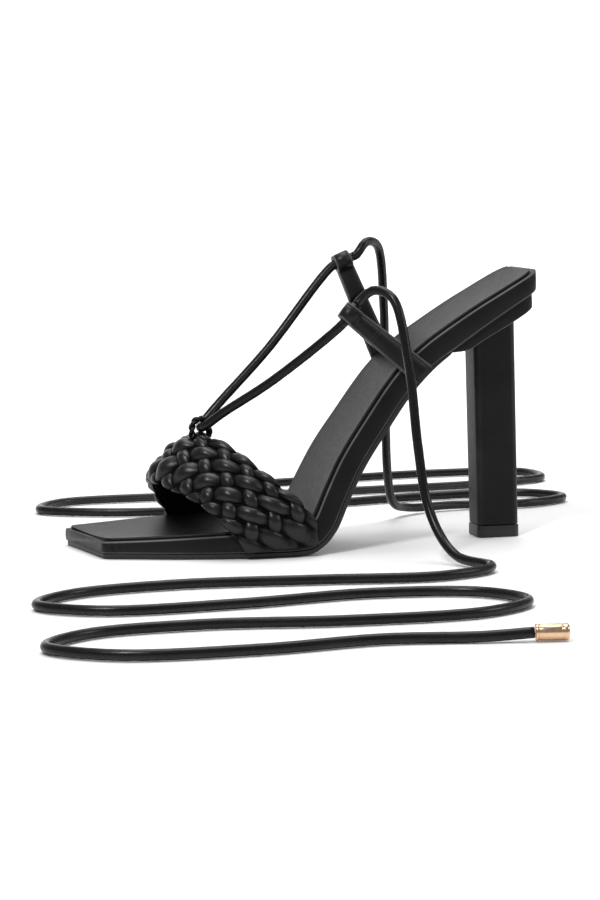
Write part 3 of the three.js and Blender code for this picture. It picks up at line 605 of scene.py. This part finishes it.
def leather(
    name, dark, light, rough, grain=1300, grain_depth=0.35, crease=0.25, gloss_level=0.24, painted_light_tint=0.02,
    edge_gloss=None,
):
    """Black leather: broad tint, fine pores, soft wrinkles. Where the mesh says edge, it takes the edge tint,
    and the edge gloss if one is given: a painted highlight on a rim or edge, painted shade (darker and
    duller) down in a braid."""
    spread = 0.03
    material = bpy.data.materials.new(name)
    tree, nodes, links, shader = nodes_of(material)
    place = nodes.new("ShaderNodeTexCoord")
    broad = nodes.new("ShaderNodeTexNoise")
    broad.inputs["Scale"].default_value = 60
    broad.inputs["Detail"].default_value = 4
    links.new(place.outputs["Object"], broad.inputs["Vector"])
    tint = ramp(nodes, 0.35, 0.7, dark, light)
    links.new(broad.outputs["Fac"], tint.inputs["Fac"])
    edge = nodes.new("ShaderNodeAttribute")
    edge.attribute_name = "edge"
    patchy = nodes.new("ShaderNodeMath")
    patchy.operation = "MULTIPLY"
    links.new(edge.outputs["Fac"], patchy.inputs[0])
    links.new(broad.outputs["Fac"], patchy.inputs[1])
    # Mix toward the edge tint where the mesh marks an edge: painted light, a highlight on rims and edges,
    # shade in a braid
    painted_light_edge = nodes.new("ShaderNodeMix")
    painted_light_edge.data_type = "RGBA"
    painted_light_edge.inputs["B"].default_value = (painted_light_tint, painted_light_tint, painted_light_tint, 1)
    links.new(patchy.outputs["Value"], painted_light_edge.inputs["Factor"])
    links.new(tint.outputs["Color"], painted_light_edge.inputs["A"])
    links.new(painted_light_edge.outputs["Result"], shader.inputs["Base Color"])
    fine = nodes.new("ShaderNodeTexNoise")
    fine.inputs["Scale"].default_value = 420
    fine.inputs["Detail"].default_value = 6
    links.new(place.outputs["Object"], fine.inputs["Vector"])
    gloss = nodes.new("ShaderNodeMapRange")
    gloss.inputs["From Min"].default_value = 0.3
    gloss.inputs["From Max"].default_value = 0.7
    gloss.inputs["To Min"].default_value = rough - spread
    gloss.inputs["To Max"].default_value = rough + spread
    links.new(fine.outputs["Fac"], gloss.inputs["Value"])
    links.new(gloss.outputs["Result"], shader.inputs["Roughness"])
    cells = nodes.new("ShaderNodeTexVoronoi")
    cells.feature = "DISTANCE_TO_EDGE"
    cells.inputs["Scale"].default_value = grain
    links.new(place.outputs["Object"], cells.inputs["Vector"])
    pebble = ramp(nodes, 0.0, 0.12, (0, 0, 0), (1, 1, 1))
    links.new(cells.outputs["Distance"], pebble.inputs["Fac"])
    bump = nodes.new("ShaderNodeBump")
    bump.inputs["Strength"].default_value = grain_depth
    bump.inputs["Distance"].default_value = 0.00006
    links.new(pebble.outputs["Color"], bump.inputs["Height"])
    wrinkle = nodes.new("ShaderNodeTexNoise")
    wrinkle.inputs["Scale"].default_value = 170
    wrinkle.inputs["Detail"].default_value = 3
    wrinkle.inputs["Distortion"].default_value = 0.8
    links.new(place.outputs["Object"], wrinkle.inputs["Vector"])
    second = nodes.new("ShaderNodeBump")
    second.inputs["Strength"].default_value = crease
    second.inputs["Distance"].default_value = 0.0004
    links.new(wrinkle.outputs["Fac"], second.inputs["Height"])
    links.new(bump.outputs["Normal"], second.inputs["Normal"])
    links.new(second.outputs["Normal"], shader.inputs["Normal"])
    # An edge gloss dulls the specular where the mesh marks it: painted shade down in a braid
    if edge_gloss is None:
        shader.inputs["Specular IOR Level"].default_value = gloss_level
    else:
        level = nodes.new("ShaderNodeMapRange")
        level.inputs["To Min"].default_value = gloss_level
        level.inputs["To Max"].default_value = edge_gloss
        links.new(edge.outputs["Fac"], level.inputs["Value"])
        links.new(level.outputs["Result"], shader.inputs["Specular IOR Level"])
    return material


def rubber(name, shade, rough):
    material = bpy.data.materials.new(name)
    tree, nodes, links, shader = nodes_of(material)
    place = nodes.new("ShaderNodeTexCoord")
    grain = nodes.new("ShaderNodeTexNoise")
    grain.inputs["Scale"].default_value = 900
    grain.inputs["Detail"].default_value = 5
    links.new(place.outputs["Object"], grain.inputs["Vector"])
    tint = ramp(nodes, 0.3, 0.75, shade, tuple(1.7 * c for c in shade))
    links.new(grain.outputs["Fac"], tint.inputs["Fac"])
    links.new(tint.outputs["Color"], shader.inputs["Base Color"])
    bump = nodes.new("ShaderNodeBump")
    bump.inputs["Strength"].default_value = 0.3
    bump.inputs["Distance"].default_value = 0.0001
    links.new(grain.outputs["Fac"], bump.inputs["Height"])
    links.new(bump.outputs["Normal"], shader.inputs["Normal"])
    shader.inputs["Roughness"].default_value = rough
    return material


def metal(name, color):
    material = bpy.data.materials.new(name)
    tree, nodes, links, shader = nodes_of(material)
    place = nodes.new("ShaderNodeTexCoord")
    wear = nodes.new("ShaderNodeTexNoise")
    wear.inputs["Scale"].default_value = 700
    wear.inputs["Detail"].default_value = 6
    links.new(place.outputs["Object"], wear.inputs["Vector"])
    tint = ramp(nodes, 0.3, 0.8, tuple(0.82 * c for c in color), color)
    links.new(wear.outputs["Fac"], tint.inputs["Fac"])
    links.new(tint.outputs["Color"], shader.inputs["Base Color"])
    gloss = nodes.new("ShaderNodeMapRange")
    gloss.inputs["To Min"].default_value = 0.14
    gloss.inputs["To Max"].default_value = 0.3
    links.new(wear.outputs["Fac"], gloss.inputs["Value"])
    links.new(gloss.outputs["Result"], shader.inputs["Roughness"])
    shader.inputs["Metallic"].default_value = 1.0
    return material


BLACK = (0.0035, 0.0038, 0.0038)
SOFT_BLACK = (0.0062, 0.0067, 0.0066)
# The wrap leather's edge tint is a painted highlight: lighter lines on the platform's rims, the flange's lips
# and the column's corners
wrap_leather = leather("wrap_leather", BLACK, SOFT_BLACK, 0.45, crease=0.10, gloss_level=0.18, painted_light_tint=0.22)
# The strap leather's edge tint is a painted highlight along both edges of each strap
strap_leather = leather("strap_leather", BLACK, SOFT_BLACK, 0.38, grain_depth=0.2, crease=0.12, painted_light_tint=0.12)
# In the braid the edge tint and edge gloss are painted shade: pads darker and duller where they dive between
# their neighbours
braid_leather = leather(
    "braid_leather", BLACK, SOFT_BLACK, 0.33, grain=1500, grain_depth=0.15, crease=0.30, gloss_level=0.34,
    painted_light_tint=0.001, edge_gloss=0.03,
)
lining_leather = leather("lining_leather", BLACK, SOFT_BLACK, 0.7, crease=0.2, gloss_level=0.04)
# The sock's rims take the default edge tint, a faint painted highlight
insole_leather = leather("insole_leather", BLACK, SOFT_BLACK, 0.46, grain=1700, crease=0.03, gloss_level=0.14)
# The cord leather's edge tint is a painted highlight on the bands beside the seam
cord_leather = leather(
    "cord_leather", BLACK, SOFT_BLACK, 0.28, grain=2200, grain_depth=0.1, crease=0.07, painted_light_tint=0.08
)
outsole_rubber = rubber("outsole_rubber", (0.006, 0.006, 0.0063), 0.5)
tip_rubber = rubber("tip_rubber", (0.005, 0.005, 0.0053), 0.42)
gold = metal("gold", (0.83, 0.56, 0.36))
thread = rubber("thread", (0.009, 0.009, 0.009), 0.6)

# The free laces
ties = {}
for name, eye, side, fall, floor in (
    ("lateral", lateral_eye, 1, LATERAL_FALL, LATERAL_FLOOR),
    ("medial", medial_eye, -1, MEDIAL_FALL, MEDIAL_FLOOR),
):
    points, heading, end = tie_points(eye, side, fall, floor)
    line = smooth_line(points)
    made = recalc(cord_tube(f"lace_{name}", line, CORD_RADIUS, cord_leather))
    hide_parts(f"tie_{name}")
    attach(made, "root")
    ties[name] = dict(obj=made, line=line, heading=heading, end=end)


def lathe(name, profile, start, heading, material, sides=48):
    heading = np.asarray(heading, float)
    across = np.cross(heading, [0, 0, 1.0])
    across /= np.linalg.norm(across)
    third = np.cross(across, heading)
    points = []
    for distance, radius in profile:
        for i in range(sides):
            angle = 2 * math.pi * i / sides
            ring = across * math.cos(angle) + third * math.sin(angle)
            points.append(start + heading * distance + ring * max(radius, 0.02))
    return mesh_object(name, points, loft_faces(len(profile), sides), material)


TIP_PROFILE = (
    (0.0, 2.15), (0.0, 2.75), (0.12, 2.92), (0.35, 3.0), (0.9, 3.0), (1.05, 2.9), (1.15, 2.72), (1.35, 2.7),
    (1.5, 2.86), (1.65, 2.92), (4.0, 2.94), (9.0, 2.94), (9.2, 2.88), (9.32, 2.74), (9.5, 2.74), (9.62, 2.9),
    (9.8, 2.98), (10.9, 2.98), (11.4, 2.86), (11.75, 2.55), (11.95, 2.0), (12.0, 1.2), (12.0, 0.0),
)
for name, tie in ties.items():
    tip = lathe(
        f"lace_end_{name}", TIP_PROFILE, tie["end"] + tie["heading"] * CLEARANCE, tie["heading"], gold
    )
    finish_piece(tip, "tip_metal", f"tip_{name}")
    total = float(np.sum(np.linalg.norm(np.diff(tie["line"], axis=0), axis=1))) * MM
    [tuple(point * MM) for point in tie["line"]]

# Sole
sheet = sole_layer(
    "outsole_sheet", outsole_rubber, OUTSOLE_INSET / SOLE_LENGTH, FLANGE_LIP - CLEARANCE / SOLE_LENGTH,
    OUTSOLE_INSET, TOE_CORNER, TOE_CORNER, lambda at: 0.0,
    lambda at: underside(at) - CLEARANCE, OUTSOLE_RADII,
)
finish_piece(sheet, "outsole_rubber", "outsole")
wrap = sole_layer(
    "platform_wrap", wrap_leather, 0.0, 1.0, 0.0, TOE_CORNER, HEEL_CORNER, underside, rim_rise,
    (WRAP_RADIUS, RIM_RADIUS), bulge=WRAP_BULGE, pleated=PLEATED_LENGTH,
)
finish_piece(wrap, "wrap_leather", "platform")
sock = sole_layer(
    "insole_sock", insole_leather, INSOLE_INSET / SOLE_LENGTH, 1 - INSOLE_INSET / SOLE_LENGTH, INSOLE_INSET,
    TOE_CORNER, HEEL_CORNER, lambda at: rim_rise(at) + SOCK_GLUE,
    lambda at: rim_rise(at) + CLEARANCE + INSOLE_THICKNESS, INSOLE_RADII, dish=INSOLE_DISH,
)
finish_piece(sock, "insole_leather", "insole")

# Heel
COLUMN_X = tread_x(1) - COLUMN_FROM_BACK


def column_ring(depth, width, radius, height_at, lean=0.0, steps=9):
    ring = []
    for k, (sx, sy) in enumerate(((1, 1), (-1, 1), (-1, -1), (1, -1))):
        for i in range(steps):
            angle = math.radians(90 * k + 90 * i / (steps - 1))
            x = COLUMN_X - lean + sx * (depth / 2 - radius) + radius * math.cos(angle)
            y = sy * (width / 2 - radius) + radius * math.sin(angle)
            ring.append((x, y, height_at(x)))
    return ring


# Painted highlight on the column's rounded corners, strongest mid-corner
CORNER_EDGE = [COLUMN_EDGE_HIGHLIGHT * math.sin(math.pi * i / 8) for k in range(4) for i in range(9)]


def column_piece(name, rings, material):
    points = np.concatenate([np.array(ring) for ring in rings])
    return mesh_object(name, points, loft_faces(len(rings), 36), material, CORNER_EDGE * len(rings))


def share_at(x):
    return (x - TOE_X) / SOLE_LENGTH


rings = []
foot_z = TIP_HEIGHT + CLEARANCE
for rise, shrink in ((0, 0.35), (0.12, 0.12), (0.4, 0.0)):
    rings.append(
        column_ring(
            COLUMN_DEPTH - 2 * shrink, COLUMN_FOOT - 2 * shrink, COLUMN_CORNER - shrink,
            lambda x, r=rise: foot_z + r,
        )
    )
for t in np.linspace(0.02, 1, 30):
    width = COLUMN_FOOT + (COLUMN_TOP - COLUMN_FOOT) * t
    rings.append(
        column_ring(
            COLUMN_DEPTH, width, COLUMN_CORNER,
            lambda x, s=t: foot_z + (float(tread_z(share_at(x))) - COLUMN_SINK - foot_z) * s,
            COLUMN_LEAN * t,
        )
    )
finish_piece(column_piece("heel_column", rings, wrap_leather), "wrap_leather", "heel")
seat = sole_layer(
    "heel_seat", wrap_leather, FLANGE_LIP, 1 - FLANGE_INSET / SOLE_LENGTH, FLANGE_INSET,
    TOE_CORNER, HEEL_CORNER, lambda at: -FLANGE_DEPTH * flange_drop(at),
    lambda at: underside(at) - CLEARANCE, FLANGE_RADII, bulge=FLANGE_BULGE,
)
finish_piece(seat, "wrap_leather", "heel")

rings = []
for z, grow in ((0.0, 0.2), (0.15, 0.4), (0.4, 0.5), (4.6, 0.5), (4.85, 0.4), (5.0, 0.15)):
    rings.append(column_ring(COLUMN_DEPTH + grow, COLUMN_FOOT + grow, COLUMN_CORNER, lambda x, h=z: h))
finish_piece(column_piece("heel_top_lift", rings, tip_rubber), "heel_tip_rubber", "heel_tip")

# Vamp: its wall and the woven strips
na, nb = 170, 44
length_grid, b_grid = np.meshgrid(
    np.linspace(0, VAMP_LENGTH, na), np.linspace(0, VAMP_WIDTH, nb), indexing="ij"
)
turn_grid = turn_at(length_grid)
across_grid = b_grid / VAMP_WIDTH
normal_grid = vamp_normal(turn_grid, across_grid)
middle_grid = vamp_middle(turn_grid, across_grid)
outer = middle_grid + normal_grid * (VAMP_WALL / 2)
inner = middle_grid - normal_grid * (VAMP_WALL / 2)
points = np.concatenate([outer.reshape(-1, 3), inner.reshape(-1, 3)])
faces = []
shift = na * nb
for i in range(na - 1):
    for k in range(nb - 1):
        a = i * nb + k
        faces.append((a, a + 1, a + nb + 1, a + nb))
        faces.append((a + shift, a + nb + shift, a + nb + 1 + shift, a + 1 + shift))
    faces.append((i * nb, (i + 1) * nb, (i + 1) * nb + shift, i * nb + shift))
    k = i * nb + nb - 1
    faces.append((k, k + shift, k + nb + shift, k + nb))
for k in range(nb - 1):
    faces.append((k, k + shift, k + 1 + shift, k + 1))
    a = (na - 1) * nb + k
    faces.append((a, a + 1, a + 1 + shift, a + shift))
finish_piece(mesh_object("vamp_wall", points, faces, lining_leather), "braid_leather", "vamp")


# Strips: how far a pad fills its cell, how high it is, how far its ends dive and where the band's ends begin
PAD_STEPS = 25
PAD_FILL = 0.94
WIDE_TOP, WIDE_DIVE = 2.95, 0.15
NARROW_TOP, NARROW_DIVE = 2.35, 0.2
LATTICE_REACH = 16
END_RUN = 0.7
END_BAND = 11
PAST_END = 9
PAST_EDGE = 6


def braid_at(column_at, row_at):
    """Length along the band and distance across it at a place in the braid."""
    along = column_at * COLUMN_PITCH * math.cos(COLUMN_TURN) + row_at * ROW_PITCH * math.cos(ROW_TURN)
    over = column_at * COLUMN_PITCH * math.sin(COLUMN_TURN) + row_at * ROW_PITCH * math.sin(ROW_TURN)
    return BRAID_FROM[0] + along, BRAID_FROM[1] * VAMP_WIDTH + over


def pad(column_at, row_at, wide):
    """One stretch of a strip that lies on top: a puffed pad whose ends dive under its neighbours.
    Gives its points and how deep each lies, from 0 on top to 1 down in the braid."""
    s, t = np.meshgrid(np.linspace(-1, 1, PAD_STEPS), np.linspace(-1, 1, PAD_STEPS), indexing="ij")
    if wide:
        half_s, half_t, top = WIDE_SHARE_OF_ROW * PAD_FILL, WIDE_SHARE_OF_COLUMN + WIDE_DIVE, WIDE_TOP
        step_along = COLUMN_PITCH * math.cos(COLUMN_TURN)
    else:
        half_s, half_t = (1 - WIDE_SHARE_OF_COLUMN) * PAD_FILL, 1 - WIDE_SHARE_OF_ROW + NARROW_DIVE
        top = NARROW_TOP
        step_along = ROW_PITCH * math.cos(ROW_TURN)
    # Where the band ends a strip runs on flat under the sole
    centre = braid_at(column_at, row_at)[0]
    outward = np.sign(step_along) * (1 if centre > VAMP_LENGTH / 2 else -1)
    near_end = min(centre, VAMP_LENGTH - centre) < END_BAND
    reach = np.where((t * outward > 0) & near_end, half_t + END_RUN, half_t)
    across = s * half_s * (1 - 0.13 * np.abs(t) ** 3)
    if wide:
        length, b = braid_at(column_at + t * reach, row_at + across)
    else:
        length, b = braid_at(column_at + across, row_at + t * reach)
    wave = 0.5 + 0.5 * np.cos(math.pi * np.clip(t * reach, -1, 1))
    past_end = np.minimum(length, VAMP_LENGTH - length)
    wave = np.where(reach > half_t, np.maximum(wave, 0.6 * (1 - smooth(past_end, 4, END_BAND))), wave)
    flat = 0.40 + 0.60 * smooth(past_end, 0, 16)
    from_edge = np.clip(np.minimum(b, VAMP_WIDTH - b) / 5, 0, 1)
    flat = flat * (0.55 + 0.45 * np.sqrt(1 - (1 - from_edge) ** 2))
    body = np.clip(1 - np.abs(s) ** 2.2, 0, 1) ** 0.55
    height = flat * (top * (0.15 + 0.85 * body) * wave - 1.2 * (1 - body)) - 0.35 * (1 - body)
    past_edge = np.clip(np.maximum(-b, b - VAMP_WIDTH), 0, None)
    height = height * (1 - 0.9 * smooth(past_edge, 1.5, 4))
    height = np.where(past_end < 0, -0.5, height)
    return vamp_place(length, b, height), 1 - smooth(height / flat, 0.3, 1.8)


pad_points, pad_faces, pad_deep = [], [], []
total = 0
for i in range(-LATTICE_REACH, LATTICE_REACH + 1):
    for j in range(-LATTICE_REACH, LATTICE_REACH + 1):
        a, b = braid_at(i, j)
        in_length = -PAST_END < a < VAMP_LENGTH + PAST_END
        in_width = -PAST_EDGE < b < VAMP_WIDTH + PAST_EDGE
        if not (in_length and in_width):
            continue
        n = PAD_STEPS
        placed, deep = pad(i, j, (i + j) % 2 == 0)
        pad_points.append(placed.reshape(-1, 3))
        pad_deep.extend(deep.ravel())
        for r in range(n - 1):
            for k in range(n - 1):
                v = total + r * n + k
                pad_faces.append((v, v + 1, v + n + 1, v + n))
        total += n * n
# How deep a point lies drives painted shade in the braid's crevices
braid = mesh_object("vamp_braid", np.concatenate(pad_points), pad_faces, braid_leather, pad_deep)
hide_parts("vamp")
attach(braid, "root")

# Side straps
EYE_INNER = CORD_RADIUS + EYE_PLAY
EYE_OUTER = EYE_INNER + EYE_WALL
EYE_MEET = math.asin(STRAP_THICKNESS / EYE_OUTER)
EYE_STEPS = 40
HOLE_STEPS = 32
STITCH_ROWS = (1.6, 2.9)
STITCH_SPAN = 0.28
STITCH_COUNT = 5
STITCH_HALF = 0.055
STITCH_RADIUS = 0.2


def strap_outline(length, inset):
    neck = length - EYE_OUTER * math.cos(EYE_MEET)
    start = neck - STRAP_FOLD
    outer = []
    for d in np.linspace(0, neck, 26):
        outer.append((STRAP_THICKNESS, d))
    for i in range(1, EYE_STEPS):
        angle = -math.pi / 2 + EYE_MEET + (2 * math.pi - 2 * EYE_MEET) * i / EYE_STEPS
        outer.append((EYE_OUTER * math.cos(angle), length + EYE_OUTER * math.sin(angle)))
    for d in np.linspace(neck, start + 0.5, 8):
        outer.append((-STRAP_THICKNESS, d))
    outer.append((-STRAP_THICKNESS * 0.8, start))
    for d in np.linspace(start, 0, 16):
        outer.append((0.0, d))
    outer = np.array(outer)
    hole = np.array([
        (EYE_INNER * math.cos(angle), length - EYE_INNER * math.sin(angle))
        for angle in np.arange(HOLE_STEPS) * 2 * math.pi / HOLE_STEPS
    ])

    def drawn(loop, amount):
        before = np.roll(loop, 1, axis=0)
        after = np.roll(loop, -1, axis=0)
        tangent = after - before
        tangent /= np.maximum(np.linalg.norm(tangent, axis=1, keepdims=True), 1e-6)
        inward = np.stack([-tangent[:, 1], tangent[:, 0]], axis=1)
        return loop + inward * amount

    return drawn(outer, inset), drawn(hole, inset)


def strap_mesh(name, place, length, node):
    half = (
        (0.5, 0.42), (0.485, 0.2), (0.46, 0.04), (0.425, 0.0),
        (0.385, 0.0), (0.37, 0.14), (0.355, 0.14), (0.34, 0.0),
    )
    levels = [(-w, inset) for w, inset in half] + [(0.0, -0.08)] + [(w, inset) for w, inset in half[::-1]]
    points, faces, edge = [], [], []
    counts = None
    for w, inset in levels:
        outer, hole = strap_outline(length, inset)
        counts = (len(outer), len(hole))
        for n, d in (*outer, *hole):
            points.append(place(n, d, w))
            # Both long edges of the strap get a painted highlight
            edge.append(1.0 if abs(w) > 0.41 else 0.0)
    block = sum(counts)
    for r in range(len(levels) - 1):
        for start, count in ((0, counts[0]), (counts[0], counts[1])):
            for i in range(count):
                a = r * block + start + i
                b = r * block + start + (i + 1) % count
                faces.append((a, b, b + block, a + block))
    for r in (0, len(levels) - 1):
        outer, hole = strap_outline(length, levels[r][1])
        flat = [[Vector((x, y, 0)) for x, y in outer], [Vector((x, y, 0)) for x, y in hole]]
        for tri in tessellate_polygon(flat):
            faces.append(tuple(r * block + k for k in tri))
    made = mesh_object(name, points, faces, strap_leather, edge)
    finish_piece(made, "strap_leather", node)
    stitches = []
    fold_end = length - EYE_OUTER * math.cos(EYE_MEET) - STRAP_FOLD
    for row in STITCH_ROWS:
        for w in np.linspace(-STITCH_SPAN, STITCH_SPAN, STITCH_COUNT):
            stitches.append((fold_end + row, w))
    points, faces = [], []
    for d, w in stitches:
        first = len(points)
        for t in np.linspace(-1, 1, 7):
            around = STITCH_RADIUS * math.sqrt(max(1 - t * t, 0)) + 0.02
            for i in range(8):
                angle = 2 * math.pi * i / 8
                n = STRAP_THICKNESS + 0.02 + around * math.cos(angle)
                points.append(place(n, d + around * math.sin(angle), w + STITCH_HALF * t))
        faces.extend(tuple(first + k for k in face) for face in loft_faces(7, 8))
    finish_piece(mesh_object(f"{name}_stitches", points, faces, thread), "strap_leather")


strap_mesh("side_strap_lateral", lateral_place, LATERAL_STRAP["length"], "strap_lateral")
strap_mesh("side_strap_medial", medial_place, MEDIAL_STRAP["length"], "strap_medial")

# The held lace and the throat loop
loop_leg = LOOP_CORD + CORD_RADIUS + LOOP_PLAY
row_span = SOLE_LENGTH * float(vamp["rear"](0.5) - vamp["front"](0.5))
throat_length = vamp_lengths[len(samples) // 2]
feet = []
around_foot = [0, -LOOP_CORD - LOOP_FOOT_MARGIN, LOOP_CORD + LOOP_FOOT_MARGIN]
for sign in (-1, 1):
    b = (LOOP_ACROSS + sign * loop_leg / row_span) * VAMP_WIDTH
    along, over = np.meshgrid(around_foot, around_foot, indexing="ij")
    around = vamp_place(throat_length + along, b + over, np.full(along.shape, PAD_RISE * LOOP_SEAT_RISE))
    feet.append(np.array([around[0, 0, 0], 0, around[..., 2].max() + CLEARANCE]))
loop_centre = np.array([
    (feet[0][0] + feet[1][0]) / 2, 0, max(feet[0][2], feet[1][2]) + LOOP_HEIGHT - loop_leg - LOOP_CORD
])


def bridle_side(eye):
    start = on_axis(eye, -EYE_REACH)
    out = math.copysign(BRIDLE_BEND_OUT, start[1])
    near = loop_centre + np.array([BRIDLE_BEND_BACK, out, BRIDLE_BEND_RISE])
    away = near + (start - near) * 0.12
    middle = near + (start - near) * 0.5 - np.array([0, 0, BRIDLE_SAG])
    return [on_axis(eye, EYE_REACH), eye[0], start, middle, away, near]


bridle = smooth_line([*bridle_side(lateral_eye), loop_centre, *bridle_side(medial_eye)[::-1]], 1.5)
finish_piece(cord_tube("lace_held", bridle, CORD_RADIUS, cord_leather), "cord_leather", "lace_bridle")

arch = [
    loop_centre + loop_leg * np.array([math.cos(math.radians(a)), 0, math.sin(math.radians(a))])
    for a in (180, 135, 90, 45, 0)
]
loop_line = smooth_line([
    np.array([arch[0][0], 0, feet[0][2] - LOOP_SINK]),
    *arch,
    np.array([arch[4][0], 0, feet[1][2] - LOOP_SINK]),
], 0.5)
for k in (0, 1):
    twisted = []
    for i, point in enumerate(loop_line):
        ahead = loop_line[min(i + 1, len(loop_line) - 1)] - loop_line[max(i - 1, 0)]
        ahead = ahead / np.linalg.norm(ahead)
        side = np.array([0, 1.0, 0])
        third = np.cross(ahead, side)
        angle = i * STRAND_TWIST + math.pi * k
        twisted.append(point + STRAND_OFFSET * (side * math.cos(angle) + third * math.sin(angle)))
    strand = cord_object(f"throat_strand_{k + 1}", np.array(twisted), STRAND_RADIUS, cord_leather)
    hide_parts("throat_loop")
    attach(strand, "root")

# Floor and light, in metres
FLOOR_FRONT = -4
FLOOR_BACK = 1.6
FLOOR_HALF = 5
FLOOR_DROP = 0.0002
WALL_CURVE = 1
WALL_TOP = 4
WALL_STEPS = 12
floor_material = bpy.data.materials.new("floor")
tree, nodes, links, shader = nodes_of(floor_material)
shader.inputs["Base Color"].default_value = (0.86, 0.86, 0.86, 1)
shader.inputs["Roughness"].default_value = 0.55
shader.inputs["Specular IOR Level"].default_value = 0.2
# The wall shows only from the front, so that it hides nothing in a view from behind it
facing = nodes.new("ShaderNodeNewGeometry")
clear = nodes.new("ShaderNodeBsdfTransparent")
either = nodes.new("ShaderNodeMixShader")
links.new(facing.outputs["Backfacing"], either.inputs["Fac"])
links.new(shader.outputs["BSDF"], either.inputs[1])
links.new(clear.outputs["BSDF"], either.inputs[2])
links.new(either.outputs["Shader"], nodes["Material Output"].inputs["Surface"])
mesh = bpy.data.meshes.new("floor")
profile = [(FLOOR_FRONT, 0.0), (FLOOR_BACK, 0.0)]
for i in range(1, WALL_STEPS + 1):
    angle = math.pi / 2 * i / WALL_STEPS
    profile.append((FLOOR_BACK + WALL_CURVE * math.sin(angle), WALL_CURVE * (1 - math.cos(angle))))
profile.append((FLOOR_BACK + WALL_CURVE, WALL_TOP))
corners, quads = [], []
for y, z in profile:
    corners.extend([(-FLOOR_HALF, y, z - FLOOR_DROP), (FLOOR_HALF, y, z - FLOOR_DROP)])
for i in range(len(profile) - 1):
    quads.append((2 * i, 2 * i + 1, 2 * i + 3, 2 * i + 2))
mesh.from_pydata(corners, [], quads)
mesh.polygons.foreach_set("use_smooth", [True] * len(mesh.polygons))
floor = bpy.data.objects.new("floor", mesh)
bpy.context.scene.collection.objects.link(floor)
mesh.materials.append(floor_material)

for name, at, target, size, power in (
    ("key", (-0.8, -1.0, 1.6), (0, 0, 0.05), 0.32, 22),
    ("top", (0.25, 0.35, 1.9), (0, 0, 0.05), 1.4, 26),
    ("back", (0.2, 1.2, 1.5), (0.0, 2.4, 0.4), 1.6, 30),
    ("side", (1.4, -0.6, 0.9), (0, 0, 0.06), 0.5, 6),
):
    data = bpy.data.lights.new(name, "AREA")
    data.shape = "SQUARE"
    data.size = size
    data.energy = power
    lamp = bpy.data.objects.new(name, data)
    lamp.location = at
    lamp.rotation_mode = "QUATERNION"
    lamp.rotation_quaternion = (Vector(target) - Vector(at)).to_track_quat("-Z", "Y")
    bpy.context.scene.collection.objects.link(lamp)

world = bpy.data.worlds.new("world")
bpy.context.scene.world = world
world.use_nodes = True
world.node_tree.nodes["Background"].inputs["Color"].default_value = (1, 1, 1, 1)
world.node_tree.nodes["Background"].inputs["Strength"].default_value = 0.3
bpy.context.scene.view_settings.view_transform = "Standard"
